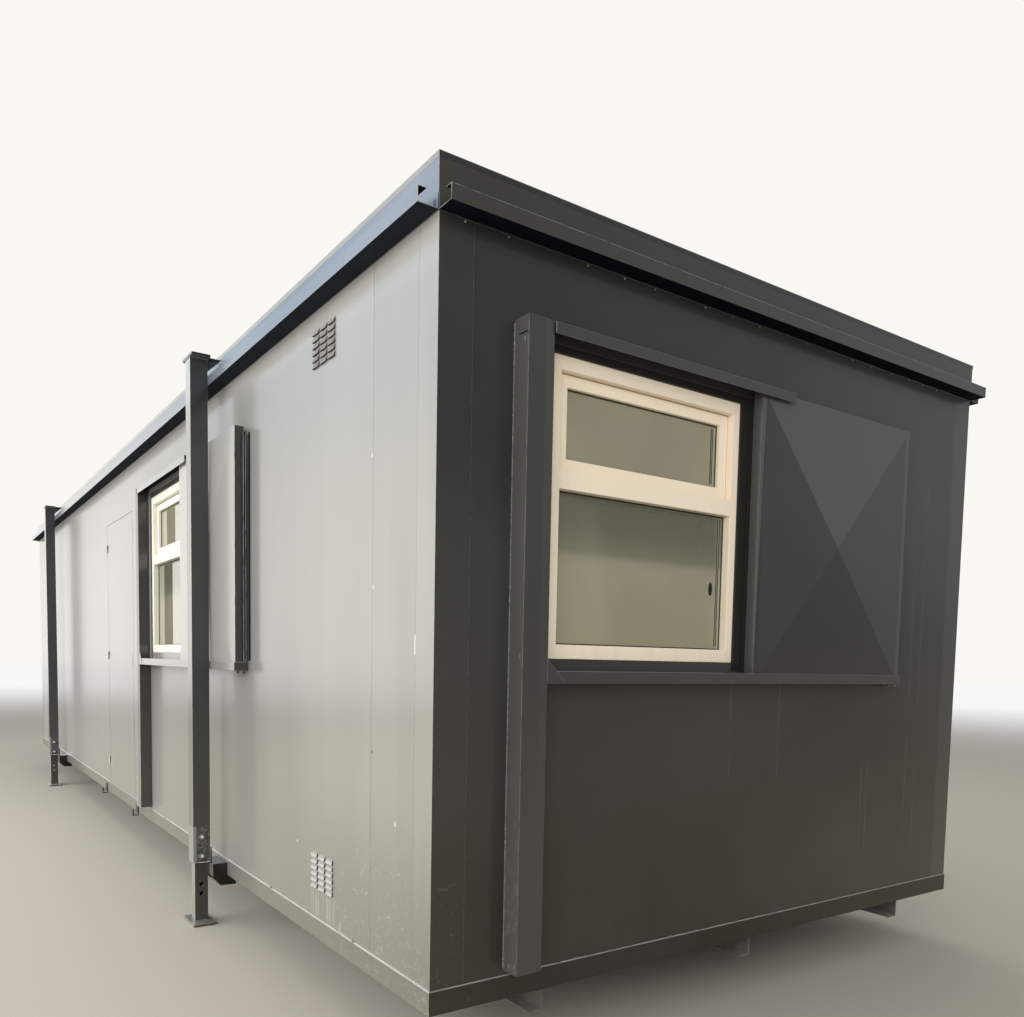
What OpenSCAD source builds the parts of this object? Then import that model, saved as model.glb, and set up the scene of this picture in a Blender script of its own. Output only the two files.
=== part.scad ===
/* [Cabin body] */
// Width across the end walls
cabin_w = 3050; // [2400:10:3700]
// Length along the long walls
cabin_l = 9750; // [8000:50:12200]
// Height of the wall panels above the base rail
wall_h = 2395; // [2300:5:2700]
// Thickness of the wall panels
wall_t = 85; // [60:1:110]
// Step from the face of the base rail back to the wall sheet
skin_step = 4; // [2:1:8]
// Side of the square corner posts
corner_w = 120; // [100:5:160]
// Wall thickness of the corner posts
corner_t = 5; // [3:1:8]

/* [Base frame] */
// Height of the base rail
rail_h = 83; // [70:1:140]
// Flange width of the base rail
rail_flange = 50; // [35:1:70]
// Plate thickness of the base rail
rail_t = 5; // [4:1:8]
// Number of cross joists between the long rails
joist_n = 15; // [9:1:21]
// Flange width of a cross joist
joist_w = 40; // [30:1:60]
// Height of the three runners under the joists
runner_h = 100; // [80:5:150]
// Flange width of a runner
runner_w = 60; // [40:5:90]
// Plate thickness of a runner
runner_t = 7; // [5:1:10]
// Distance from the left side to the web of the first runner
runner_first = 490; // [400:10:700]
// Spacing of the runners
runner_pitch = 1105; // [800:5:1150]
// Thickness of the floor deck
deck_t = 18; // [12:1:27]

/* [Roof] */
// Height of the roof fascia above the walls
fascia_h = 170; // [130:5:220]
// Plate thickness of the fascia
fascia_t = 3; // [2:1:5]
// Width of the fascia flanges
fascia_flange = 60; // [40:5:80]
// Thickness of the roof skin
roof_t = 3; // [2:1:5]
// Height of the edge of the roof skin folded down over the fascia
roof_lap = 18; // [10:1:25]
// Thickness of that folded edge
roof_lap_t = 2; // [1:0.5:3]
// Number of sheets in the roof skin
roof_sheets = 8; // [4:1:12]
// Width of the strip over a joint between two roof sheets
roof_seam_w = 30; // [20:5:50]
// Height of that strip
roof_seam_h = 2; // [1:0.5:4]
// Thickness of the ceiling board
ceiling_t = 12; // [9:1:18]
// Distance that the gutter stands out from the fascia
gutter_out = 73; // [60:1:95]
// Height of the gutter lip
gutter_h = 48; // [40:1:70]
// Plate thickness of the gutter
gutter_t = 3; // [2:1:4]
// Width of the flange turned in at the top of the gutter lip
gutter_return = 30; // [15:1:35]

/* [Windows] */
// Width of a window frame
window_w = 920; // [800:5:1100]
// Height of a window frame
window_h = 1011; // [900:1:1150]
// Height of the window frame above the underside of the base rail
window_z = 1148; // [1000:4:1200]
// Distance that the frame is set back from the rail face
window_recess = 6; // [4:1:45]
// Width of the side members of the frame
frame_side = 38; // [30:1:90]
// Width of the bottom member of the frame
frame_bottom = 50; // [40:1:70]
// Width of the top member of the frame
frame_top = 47; // [35:1:85]
// Height of the vent opening in the frame
vent_h = 328; // [250:1:380]
// Height of the cross member between the panes
transom_h = 63; // [50:1:80]
// Gap that shows round the vent sash
sash_gap = 3; // [2:1:6]
// Depth of that gap
sash_gap_d = 15; // [8:1:20]
// Width of the members of the vent sash
sash_w = 45; // [38:1:55]
// Depth of the vent sash behind the face of the frame
sash_set = 26; // [0:1:35]
// Distance from the inner face of the wall to the back of the vent sash
sash_back = 10; // [5:1:15]
// Depth of the lower pane behind the face of the frame
glass_set = 34; // [8:1:40]
// Depth of the upper pane behind the face of the vent sash
sash_glass_set = 18; // [8:1:22]
// Thickness of a sealed glass unit
glass_t = 24; // [18:1:30]

/* [Shutters] */
// Width of the full-height post beside a window
post_w = 106; // [70:1:120]
// Width of the post's face that slants back towards the window
post_slant_w = 38; // [20:1:50]
// Distance that this face slants back
post_slant = 7; // [3:1:10]
// Distance from the top of the post down to the slit in its outer side
post_slit_drop = 54; // [50:1:80]
// Height of the slit
post_slit_h = 4; // [2:1:8]
// Length of the slit
post_slit_l = 46; // [30:1:55]
// Distance that the post and the hood stand out from the rail face
post_out = 75; // [68:1:90]
// Plate thickness of post, hood and sill channel
guide_t = 4; // [3:1:5]
// Gap between the post and the window frame
post_gap = 52; // [20:1:70]
// Height of the post's foot above the underside of the base rail
post_foot = 100; // [90:1:140]
// Height of the hood over the shutter
hood_h = 38; // [30:1:50]
// Gap between the window frame and the hood
hood_gap = 27; // [8:1:40]
// Length of the hood past the window frame
hood_past = 237; // [100:1:400]
// Height of the sill channel under the shutter
sill_h = 42; // [30:1:55]
// Gap between the sill channel and the window frame
sill_gap = 40; // [25:1:60]
// Distance that the sill channel stands out from the rail face
sill_out = 65; // [62:1:85]
// Length of the gusset between the sill channel and the post
gusset_l = 80; // [50:1:120]
// Height of the gusset above the underside of the sill channel
gusset_h = 84; // [60:1:110]
// Thickness of the gusset
gusset_t = 3; // [2:1:4]
// Length of a shutter
shutter_l = 1015; // [1000:5:1150]
// Depth of a shutter's folded edges
shutter_d = 45; // [30:1:46]
// Sheet thickness of a shutter
shutter_t = 3; // [2:1:4]
// Width of the lip turned out along a shutter's outer end
shutter_lip = 30; // [20:1:40]
// Distance from the top of the shutter down to that lip
shutter_lip_drop = 30; // [15:1:60]
// Rise of the pyramid pressed into a shutter
shutter_rise = 9; // [5:1:14]
// Flat border round the pyramid
shutter_border = 24; // [15:1:60]
// Distance from the rail face to the back of a shutter
shutter_gap = 12; // [8:1:14]
// Gap between the window frame and the parked shutter
park_gap = 57; // [8:1:80]
// Running gap of a shutter in its channel
slide_gap = 0.3; // [0.2:0.1:1]
// Gap between the top of a shutter and its hood
top_gap = 6; // [5:1:12]
// Gap between the end of a shutter and the end of its channel or the post
end_gap = 5; // [5:1:10]
// Distance from the left side to the post on the front wall
front_post_x = 285; // [200:5:400]
// Distance from the front to the post on the left wall
left_post_y = 3960; // [3900:5:4100]

/* [Door] */
// Distance from the front to the near edge of the door frame
door_y = 4360; // [4200:10:4600]
// Width of the door leaf
leaf_w = 940; // [800:5:1000]
// Height of the door leaf
leaf_h = 2062; // [1900:2:2100]
// Thickness of the door leaf
leaf_t = 45; // [40:1:50]
// Gap round the door leaf
leaf_gap = 5; // [5:1:8]
// Width of the members of the door frame
jamb_w = 40; // [30:1:60]
// Width of the stop behind the door leaf
stop_w = 20; // [12:1:28]
// Diameter of the hinge barrels
hinge_d = 12; // [10:1:26]
// Length of one half of a hinge
hinge_l = 30; // [25:1:80]
// Diameter of the hinge pin
hinge_pin_d = 6; // [5:1:12]
// Radial clearance of the hinge pin
hinge_fit = 0.1; // [0.05:0.05:0.3]
// Height of the hinge pin above its lower half
hinge_pin_l = 22; // [15:1:50]
// Distance from the ends of the leaf to the first and last hinge
hinge_end = 180; // [120:10:300]
// Height of the lock plate
lock_h = 90; // [60:5:220]
// Width of the lock plate
lock_w = 30; // [20:1:60]
// Thickness of the lock plate
lock_t = 1; // [1:0.5:5]
// Height of the middle of the lock plate above the floor
lock_z = 1000; // [900:10:1100]
// Distance from the free edge of the leaf to the lock plate
lock_edge = 40; // [30:1:80]
// Width of a lug that carries the step below the door
lug_w = 60; // [40:5:80]
// Plate thickness of a step lug
lug_t = 8; // [6:1:10]
// Distance that a step lug stands out from the base rail
lug_out = 40; // [30:1:60]
// Height of a step lug on the base rail
lug_up = 60; // [40:1:70]
// Depth of a step lug below the base rail
lug_drop = 25; // [15:1:40]
// Distance from the door frame to the near step lug
lug_near = 60; // [40:5:120]
// Distance from the door frame to the far step lug
lug_far = 100; // [40:5:120]

/* [Ventilators] */
// Length of a slot
slot_l = 50; // [40:1:60]
// Height of a slot
slot_h = 11; // [8:1:14]
// Number of slots in a row
slot_cols = 3; // [2:1:4]
// Number of rows of slots
slot_rows = 6; // [4:1:8]
// Spacing of the slots along the wall
slot_pitch_y = 76; // [70:1:90]
// Spacing of the rows of slots
slot_pitch_z = 25; // [20:1:30]
// Distance from the front to the middle of the slots
vent_y = 881; // [700:1:900]
// Height of the middle of the upper slots above the underside of the base rail
vent_high = 2332; // [2250:1:2360]
// Height of the middle of the lower slots above the underside of the base rail
vent_low = 277; // [240:1:400]
// Length of the wall panel that holds the ventilators
vent_panel_l = 1100; // [1050:10:1300]

/* [Jack legs] */
// Height of the underside of the base rail above the ground
ground_gap = 250; // [180:5:400]
// Distance from the front to the near legs
leg_near = 2230; // [2100:10:2600]
// Distance from the rear to the far legs
leg_far = 1950; // [1800:10:2600]
// Side of the outer tube
tube_w = 85; // [75:1:110]
// Wall thickness of the outer tube
tube_t = 5; // [4:1:8]
// Side of the inner leg
inner_w = 65; // [55:1:70]
// Wall thickness of the inner leg
inner_t = 5; // [4:1:8]
// Height of the outer tube's lower end above the underside of the base rail
tube_foot = 68; // [40:1:90]
// Distance from the top of the roof down to the top of the legs
tube_drop = 31; // [20:1:40]
// Length of the inner leg inside the outer tube
inner_lap = 520; // [300:10:900]
// Width of the base plates
plate_w = 114; // [100:1:160]
// Length of the base plates
plate_l = 200; // [150:5:250]
// Thickness of the top and base plates
plate_t = 12; // [8:1:16]
// Width of the top plates
cap_w = 90; // [86:1:110]
// Length of the top plates
cap_l = 174; // [120:2:220]
// Diameter of the pin holes
pin_hole_d = 22; // [18:1:28]
// Spacing of the pin holes
pin_pitch = 50; // [40:5:80]
// Diameter of the bolts that hold the inner leg
leg_bolt_d = 21.6; // [16:0.2:24]
// Width of the bolt heads
leg_bolt_head = 34; // [30:1:40]
// Height of the bolt heads
leg_bolt_head_h = 12; // [8:1:16]
// Height of the lowest bolt above the outer tube's lower end
leg_bolt_up = 36; // [30:1:60]
// Thickness of the bracket plates between leg and cabin
bracket_t = 8; // [6:1:12]
// Width of the upper bracket
bracket_w = 60; // [50:1:80]
// Distance from the roof down to the upper bracket
bracket_drop = 28; // [20:1:35]
// Height of the upper bracket at the leg
bracket_h = 70; // [50:1:75]
// Diameter of the hole in the upper bracket
bracket_hole_d = 12; // [8:1:16]
// Distance of that hole from the leg
bracket_hole_in = 15; // [12:1:20]
// Height of that hole above the bracket's lower corner
bracket_hole_up = 30; // [24:1:40]
// Width of the arm under the floor
arm_w = 180; // [120:5:220]
// Height of the arm above the underside of the base rail
arm_up = 65; // [40:1:68]
// Depth of the arm below the base rail
arm_down = 52; // [40:1:80]
// Distance that the arm's outer end hangs below the base rail
arm_tip = 3; // [0:1:20]
// Length of the arm's slanted underside
arm_slant = 38; // [20:1:60]
// Length of the arm under the base rail
arm_in = 45; // [30:1:80]
// Height of the arm's plate on the outer tube
arm_plate_h = 141; // [120:1:200]

/* [Hidden] */
base_z = ground_gap;
deck_z = base_z + rail_h;
wall_z1 = deck_z + wall_h;
roof_z = wall_z1 + fascia_h;
half_w = cabin_w / 2;
half_l = cabin_l / 2;
wall_in = skin_step + wall_t;

window_u = post_w + post_gap;
window_z0 = base_z + window_z;
window_z1 = window_z0 + window_h;
vent_u0 = window_u + frame_side;
vent_u1 = window_u + window_w - frame_side;
vent_z1 = window_z1 - frame_top;
vent_z0 = vent_z1 - vent_h;
pane_z1 = vent_z0 - transom_h;
hood_z1 = window_z1 + hood_gap + hood_h;
sill_z1 = window_z0 - sill_gap;
sill_z0 = sill_z1 - sill_h;
shutter_u = window_u + window_w + park_gap;
shutter_z0 = sill_z0 + guide_t + slide_gap;
shutter_z1 = hood_z1 - guide_t - top_gap;

door_y0 = door_y - half_l;
door_open_w = leaf_w + 2 * leaf_gap;
door_w = door_open_w + 2 * jamb_w;
leaf_z0 = deck_z + leaf_gap;
leaf_z1 = leaf_z0 + leaf_h;
door_head_z = leaf_z1 + leaf_gap;
door_z1 = door_head_z + jamb_w;
hinge_x = -half_w + skin_step - hinge_d / 2;
hinge_y = door_y0 + jamb_w + door_open_w - leaf_gap / 2;
hinge_zs = [leaf_z0 + hinge_end, leaf_z0 + leaf_h / 2, leaf_z1 - hinge_end];

leg_x = half_w + gutter_out + tube_w / 2;
leg_ys = [leg_near - half_l, half_l - leg_far];
tube_z0 = base_z + tube_foot;
tube_z1 = roof_z - tube_drop - plate_t;
inner_z1 = tube_z0 + inner_lap;
bolt_z = tube_z0 + leg_bolt_up;
bolt_zs = [bolt_z, bolt_z + 2 * pin_pitch];
open_hole_zs = [bolt_z - 3 * pin_pitch, bolt_z - 4 * pin_pitch];

round_sides = 48;
bolt_sides = 6;

steel = [0.24, 0.245, 0.235];
cream = [0.87, 0.80, 0.70];
clear = [0.55, 0.58, 0.52, 0.5];
timber = [0.62, 0.5, 0.36];
zinc = [0.6, 0.6, 0.58];

// A box given by its low and high corners
module block(low, high) {
    translate(low) cube(high - low);
}

// A channel profile with its web on the Y axis and its flanges towards +X
module channel_profile(depth, flange, t) {
    difference() {
        square([flange, depth]);
        translate([t, t]) square([flange, depth - 2 * t]);
    }
}

// A channel that runs along +Y, with its web at x = 0 and its flanges towards +X
module channel_y(length, depth, flange, t) {
    translate([0, length, 0]) rotate([90, 0, 0])
        linear_extrude(length) channel_profile(depth, flange, t);
}

// A square tube that runs up from the plane z = 0
module tube(side, t, length) {
    linear_extrude(length) difference() {
        square(side, center = true);
        square(side - 2 * t, center = true);
    }
}

// Wall frame of a front piece: X runs along the wall from the post, -Y is outwards
module on_front() {
    translate([front_post_x - half_w, -half_l, 0]) children();
}

// The same frame on the left wall, where the post stands at the far end
module on_left() {
    translate([-half_w, left_post_y - half_l, 0]) rotate([0, 0, -90]) children();
}

// Base frame and fascia members, mitred at the corners

module front_member(z, depth, flange, t) {
    m = flange + 1;
    intersection() {
        translate([half_w, -half_l, z]) rotate([0, 0, 90]) channel_y(cabin_w, depth, flange, t);
        translate([0, 0, z - 1]) linear_extrude(depth + 2)
            polygon([[-half_w - 1, -half_l - 1], [half_w + 1, -half_l - 1],
                     [half_w - m, -half_l + m], [-half_w + m, -half_l + m]]);
    }
}

module left_member(z, depth, flange, t) {
    m = flange + 1;
    intersection() {
        translate([-half_w, -half_l, z]) channel_y(cabin_l, depth, flange, t);
        translate([0, 0, z - 1]) linear_extrude(depth + 2)
            polygon([[-half_w - 1, -half_l - 1], [-half_w + m, -half_l + m],
                     [-half_w + m, half_l - m], [-half_w - 1, half_l + 1]]);
    }
}

module base_rail_front() {
    color(steel) front_member(base_z, rail_h, rail_flange, rail_t);
}

module base_rail_rear() {
    mirror([0, 1, 0]) base_rail_front();
}

module base_rail_left() {
    color(steel) left_member(base_z, rail_h, rail_flange, rail_t);
}

module base_rail_right() {
    mirror([1, 0, 0]) base_rail_left();
}

module floor_joists() {
    span = cabin_w - 2 * rail_flange;
    pitch = (cabin_l - 2 * rail_flange) / (joist_n + 1);
    color(steel) for (i = [1:joist_n])
        translate([span / 2, -half_l + rail_flange + i * pitch - joist_w / 2, base_z])
            rotate([0, 0, 90]) channel_y(span, rail_h, joist_w, rail_t);
}

module runners() {
    color(steel) for (i = [0:2])
        translate([-half_w + runner_first + i * runner_pitch, -half_l + rail_flange, base_z - runner_h])
            mirror([1, 0, 0]) channel_y(cabin_l - 2 * rail_flange, runner_h, runner_w, runner_t);
}

module floor_deck() {
    x1 = half_w - wall_in;
    y1 = half_l - wall_in;
    notch = corner_w + skin_step - wall_in;
    color(timber) difference() {
        block([-x1, -y1, deck_z], [x1, y1, deck_z + deck_t]);
        for (x = [-1, 1], y = [-1, 1])
            translate([x * x1, y * y1, deck_z + deck_t / 2])
                cube([2 * notch, 2 * notch, 2 * deck_t], center = true);
    }
}

// Walls

module corner_posts() {
    color(steel) for (x = [-1, 1], y = [-1, 1])
        translate([x * (half_w - skin_step - corner_w / 2), y * (half_l - skin_step - corner_w / 2), deck_z])
            tube(corner_w, corner_t, wall_h);
}

module end_panel(y) {
    x1 = half_w - skin_step - corner_w;
    block([-x1, y, deck_z], [x1, y + wall_t, wall_z1]);
}

module window_opening() {
    block([window_u, -1, window_z0], [window_u + window_w, wall_in + 1, window_z1]);
}

module front_wall() {
    color(steel) difference() {
        end_panel(-half_l + skin_step);
        on_front() window_opening();
    }
}

module rear_wall() {
    color(steel) end_panel(half_l - wall_in);
}

// A panel of a long wall on the left side, between two distances from the front
module left_panel(y0, y1, z0 = deck_z) {
    block([-half_w + skin_step, y0 - half_l, z0], [-half_w + wall_in, y1 - half_l, wall_z1]);
}

// The upper and lower group of slots that a long wall is cut through with
module slots() {
    for (z = [vent_low, vent_high], i = [0:slot_cols - 1], j = [0:slot_rows - 1])
        translate([-half_w + skin_step - 1,
                   vent_y - half_l + (i - (slot_cols - 1) / 2) * slot_pitch_y - slot_l / 2,
                   base_z + z + (j - (slot_rows - 1) / 2) * slot_pitch_z - slot_h / 2])
            cube([wall_t + 2, slot_l, slot_h]);
}

module left_wall_corner() {
    color(steel) difference() {
        left_panel(skin_step + corner_w, skin_step + corner_w + vent_panel_l);
        slots();
    }
}

module left_wall_window() {
    color(steel) difference() {
        left_panel(skin_step + corner_w + vent_panel_l, door_y);
        on_left() window_opening();
    }
}

module left_wall_over_door() {
    color(steel) left_panel(door_y, door_y + door_w, door_z1);
}

module left_wall_far() {
    color(steel) left_panel(door_y + door_w, cabin_l - skin_step - corner_w);
}

module right_wall() {
    y1 = half_l - skin_step - corner_w;
    color(steel) difference() {
        block([half_w - wall_in, -y1, deck_z], [half_w - skin_step, y1, wall_z1]);
        mirror([1, 0, 0]) slots();
    }
}

// Roof

module ceiling() {
    color("white") block([-half_w + fascia_t, -half_l + fascia_t, wall_z1 + fascia_t],
                         [half_w - fascia_t, half_l - fascia_t, wall_z1 + fascia_t + ceiling_t]);
}

module fascia_front() {
    color(steel) front_member(wall_z1, fascia_h - roof_t, fascia_flange, fascia_t);
}

module fascia_rear() {
    mirror([0, 1, 0]) fascia_front();
}

module fascia_left() {
    color(steel) left_member(wall_z1, fascia_h - roof_t, fascia_flange, fascia_t);
}

module fascia_right() {
    mirror([1, 0, 0]) fascia_left();
}

// Flat sheets with strips over their joints and an edge folded down over the fascia
module roof_skin() {
    lap = [roof_lap_t, roof_lap_t, 0];
    corner = [half_w, half_l, roof_z];
    color(steel) {
        difference() {
            block([-half_w, -half_l, roof_z - roof_lap] - lap, corner + lap);
            block([-half_w, -half_l, roof_z - roof_lap - 1], corner - [0, 0, roof_t]);
        }
        for (i = [1:roof_sheets - 1])
            translate([-half_w, -half_l + i * cabin_l / roof_sheets - roof_seam_w / 2, roof_z - 1])
                cube([cabin_w, roof_seam_w, roof_seam_h + 1]);
    }
}

// The gutter's section: back flange, bottom, lip and the flange turned in at its top
module gutter_profile() {
    difference() {
        square([gutter_out, gutter_h]);
        translate([gutter_t, gutter_t]) square([gutter_out - 2 * gutter_t, gutter_h - 2 * gutter_t]);
        translate([gutter_t, gutter_t]) square([gutter_out - gutter_return - gutter_t, gutter_h]);
    }
}

// A gutter, open at both ends, that runs along +X from the origin and stands out towards -Y
module gutter(length) {
    rotate([90, 0, 90]) mirror([1, 0, 0]) linear_extrude(length) gutter_profile();
}

module gutter_front() {
    color(steel) translate([-half_w, -half_l, wall_z1]) gutter(cabin_w);
}

module gutter_rear() {
    rotate([0, 0, 180]) gutter_front();
}

module gutter_left() {
    color(steel) translate([-half_w, half_l, wall_z1]) rotate([0, 0, -90]) gutter(cabin_l);
}

module gutter_right() {
    rotate([0, 0, 180]) gutter_left();
}

// Windows, in the wall frame

// A ring in the plane of the wall, between two depths
module pane_ring(low, high, left, right, bottom, top, y0, y1) {
    difference() {
        block([low[0], y0, low[1]], [high[0], y1, high[1]]);
        block([low[0] + left, y0 - 1, low[1] + bottom], [high[0] - right, y1 + 1, high[1] - top]);
    }
}

module window_frame() {
    color(cream) difference() {
        block([window_u, window_recess, window_z0], [window_u + window_w, wall_in, window_z1]);
        block([vent_u0, window_recess - 1, vent_z0], [vent_u1, wall_in + 1, vent_z1]);
        block([window_u + frame_side, window_recess - 1, window_z0 + frame_bottom],
              [window_u + window_w - frame_side, wall_in + 1, pane_z1]);
    }
}

// The sash fills its opening at the back and leaves a gap round its front
module window_vent() {
    face = window_recess + sash_set;
    step = face + sash_gap_d;
    front_w = sash_w - sash_gap;
    color(cream) {
        pane_ring([vent_u0 + sash_gap, vent_z0 + sash_gap], [vent_u1 - sash_gap, vent_z1 - sash_gap],
                  front_w, front_w, front_w, front_w, face, step);
        pane_ring([vent_u0, vent_z0], [vent_u1, vent_z1], sash_w, sash_w, sash_w, sash_w,
                  step, wall_in - sash_back);
    }
}

module window_glass() {
    upper = window_recess + sash_set + sash_glass_set;
    lower = window_recess + glass_set;
    color(clear) {
        block([vent_u0 + sash_w, upper, vent_z0 + sash_w], [vent_u1 - sash_w, upper + glass_t, vent_z1 - sash_w]);
        block([vent_u0, lower, window_z0 + frame_bottom], [vent_u1, lower + glass_t, pane_z1]);
    }
}

// Shutters, in the wall frame

// The post's section, seen from above, with its sides moved in by t
module post_profile(t) {
    polygon([[t, -post_out + t], [post_w - post_slant_w, -post_out + t],
             [post_w - t, -post_out + post_slant + t], [post_w - t, skin_step - t], [t, skin_step - t]]);
}

module shutter_post() {
    z0 = base_z + post_foot;
    color(steel) difference() {
        translate([0, 0, z0]) linear_extrude(hood_z1 - z0) post_profile(0);
        translate([0, 0, z0 - 1]) linear_extrude(hood_z1 - guide_t - z0 + 1) post_profile(guide_t);
        translate([-1, -post_out + 2 * guide_t, hood_z1 - post_slit_drop])
            cube([guide_t + 2, post_slit_l, post_slit_h]);
    }
}

module shutter_hood() {
    u1 = window_u + window_w + hood_past;
    color(steel) difference() {
        block([post_w, -post_out, hood_z1 - hood_h], [u1, skin_step, hood_z1]);
        block([post_w - 1, -post_out + guide_t, hood_z1 - hood_h - 1],
              [u1 + 1, skin_step - guide_t, hood_z1 - guide_t]);
    }
}

module shutter_sill() {
    u1 = shutter_u + shutter_l + end_gap + guide_t;
    color(steel) {
        difference() {
            block([post_w, -sill_out, sill_z0], [u1, skin_step, sill_z1]);
            block([post_w - 1, -sill_out + guide_t, sill_z0 + guide_t],
                  [u1 - guide_t, skin_step - guide_t, sill_z1 + 1]);
        }
        translate([post_w, -sill_out, sill_z0]) rotate([90, 0, 0]) linear_extrude(gusset_t)
            polygon([[0, 0], [gusset_l, 0], [0, gusset_h]]);
    }
}

// The pressed sheet: a tray with a shallow pyramid on its face
module shutter_form(inset) {
    z0 = shutter_z0 + inset;
    z1 = shutter_z1 - inset;
    u0 = shutter_u + inset;
    u1 = shutter_u + shutter_l - inset;
    face = -shutter_gap - shutter_d + inset;
    b = shutter_border;
    block([u0, face, z0], [u1, -shutter_gap + (inset > 0 ? 1 : 0), z1]);
    hull() {
        block([u0 + b, face, z0 + b], [u1 - b, face + 1, z1 - b]);
        translate([(u0 + u1) / 2 - 0.5, face - shutter_rise, (z0 + z1) / 2 - 0.5]) cube(1);
    }
}

module shutter() {
    u1 = shutter_u + shutter_l;
    color(steel) {
        difference() {
            shutter_form(0);
            shutter_form(shutter_t);
        }
        block([u1 - shutter_t, -shutter_gap - shutter_t, sill_z1 + top_gap],
              [u1 + shutter_lip, -shutter_gap, shutter_z1 - shutter_lip_drop]);
    }
}

// Door

// Door pieces are drawn with the near edge of the frame at y = 0 and the wall sheet at x = 0
module at_door() {
    translate([-half_w + skin_step, door_y0, 0]) children();
}

module hinge_half(z) {
    translate([hinge_x, hinge_y, z]) cylinder(d = hinge_d, h = hinge_l, $fn = round_sides);
}

module door_frame() {
    stop_x = leaf_t + leaf_gap;
    color(steel) {
        at_door() difference() {
            block([0, 0, deck_z], [wall_t, door_w, door_z1]);
            block([-1, jamb_w, deck_z - 1], [stop_x, door_w - jamb_w, door_head_z]);
            block([-1, jamb_w + stop_w, deck_z + deck_t],
                  [wall_t + 1, door_w - jamb_w - stop_w, door_head_z - stop_w]);
        }
        for (z = hinge_zs) {
            hinge_half(z - hinge_l);
            block([hinge_x, hinge_y, z - hinge_l], [-half_w + skin_step, hinge_y + hinge_d, z]);
            translate([hinge_x, hinge_y, z - 1]) cylinder(d = hinge_pin_d, h = hinge_pin_l + 1, $fn = round_sides);
        }
    }
}

module door_leaf() {
    color(steel) {
        at_door() {
            block([0, jamb_w + leaf_gap, leaf_z0], [leaf_t, jamb_w + leaf_gap + leaf_w, leaf_z1]);
            translate([-lock_t, jamb_w + leaf_gap + lock_edge, deck_z + lock_z - lock_h / 2])
                cube([lock_t, lock_w, lock_h]);
        }
        for (z = hinge_zs) difference() {
            union() {
                hinge_half(z + slide_gap);
                block([hinge_x, hinge_y - hinge_d, z + slide_gap],
                      [-half_w + skin_step, hinge_y, z + slide_gap + hinge_l]);
            }
            translate([hinge_x, hinge_y, z - 1])
                cylinder(d = hinge_pin_d + 2 * hinge_fit, h = hinge_pin_l + 3, $fn = round_sides);
        }
    }
}

// Hooks on the base rail beside the doorway, which take the loose step
module step_lugs() {
    color(steel) for (y = [door_y - lug_near, door_y + door_w + lug_far])
        translate([-half_w, y + lug_w / 2 - half_l, base_z]) rotate([90, 0, 0]) linear_extrude(lug_w)
            polygon([[0, lug_up], [0, -lug_drop], [-lug_out, -lug_drop], [-lug_out, lug_drop],
                     [-lug_out + lug_t, lug_drop], [-lug_out + lug_t, -lug_drop + lug_t],
                     [-lug_t, -lug_drop + lug_t], [-lug_t, lug_up]]);
}

// Jack legs

// Children are drawn round the axis of a leg on the left side, and mirrored on the right
module leg_at(side, y) {
    mirror([side > 0 ? 1 : 0, 0, 0]) translate([-leg_x, y, 0]) children();
}

module pin_hole(z, d) {
    translate([0, -tube_w, z]) rotate([-90, 0, 0]) cylinder(d = d, h = 2 * tube_w, $fn = round_sides);
}

module jack_leg() {
    color(steel) {
        difference() {
            translate([0, 0, tube_z0]) tube(tube_w, tube_t, tube_z1 - tube_z0);
            for (z = bolt_zs) pin_hole(z, pin_hole_d);
        }
        translate([-cap_w / 2, -cap_l / 2, tube_z1]) cube([cap_w, cap_l, plate_t]);
    }
}

module inner_leg() {
    color(steel) {
        difference() {
            translate([0, 0, plate_t]) tube(inner_w, inner_t, inner_z1 - plate_t);
            for (z = concat(bolt_zs, open_hole_zs)) pin_hole(z, pin_hole_d);
        }
        translate([-plate_w / 2, -plate_l / 2, 0]) cube([plate_w, plate_l, plate_t]);
    }
}

module inner_legs_front() {
    for (side = [-1, 1]) leg_at(side, leg_ys[0]) inner_leg();
}

module inner_legs_rear() {
    for (side = [-1, 1]) leg_at(side, leg_ys[1]) inner_leg();
}

module leg_bolt(z) {
    translate([0, -tube_w / 2 - leg_bolt_head_h, z]) rotate([-90, 0, 0]) {
        cylinder(d = leg_bolt_d, h = tube_w + 2 * leg_bolt_head_h, $fn = round_sides);
        for (h = [0, tube_w + leg_bolt_head_h])
            translate([0, 0, h]) cylinder(d = leg_bolt_head, h = leg_bolt_head_h, $fn = bolt_sides);
    }
}

module leg_bolts() {
    color(zinc) for (side = [-1, 1], y = leg_ys, z = bolt_zs) leg_at(side, y) leg_bolt(z);
}

// Two cheeks a distance w apart over all, cut from a plate that stands in the XZ plane
module cheeks(w) {
    for (y = [-w / 2, w / 2 - bracket_t])
        translate([0, y + bracket_t, 0]) rotate([90, 0, 0]) linear_extrude(bracket_t) children();
}

// Triangular plates between the top of a leg and the fascia, notched round the top plate
module upper_bracket() {
    x0 = tube_w / 2;
    z1 = roof_z - bracket_drop;
    cheeks(bracket_w) difference() {
        polygon([[x0, z1 - bracket_h], [x0 + gutter_out, z1], [cap_w / 2, z1], [cap_w / 2, tube_z1],
                 [x0, tube_z1]]);
        translate([x0 + bracket_hole_in, z1 - bracket_h + bracket_hole_up])
            circle(d = bracket_hole_d, $fn = round_sides);
    }
}

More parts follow.
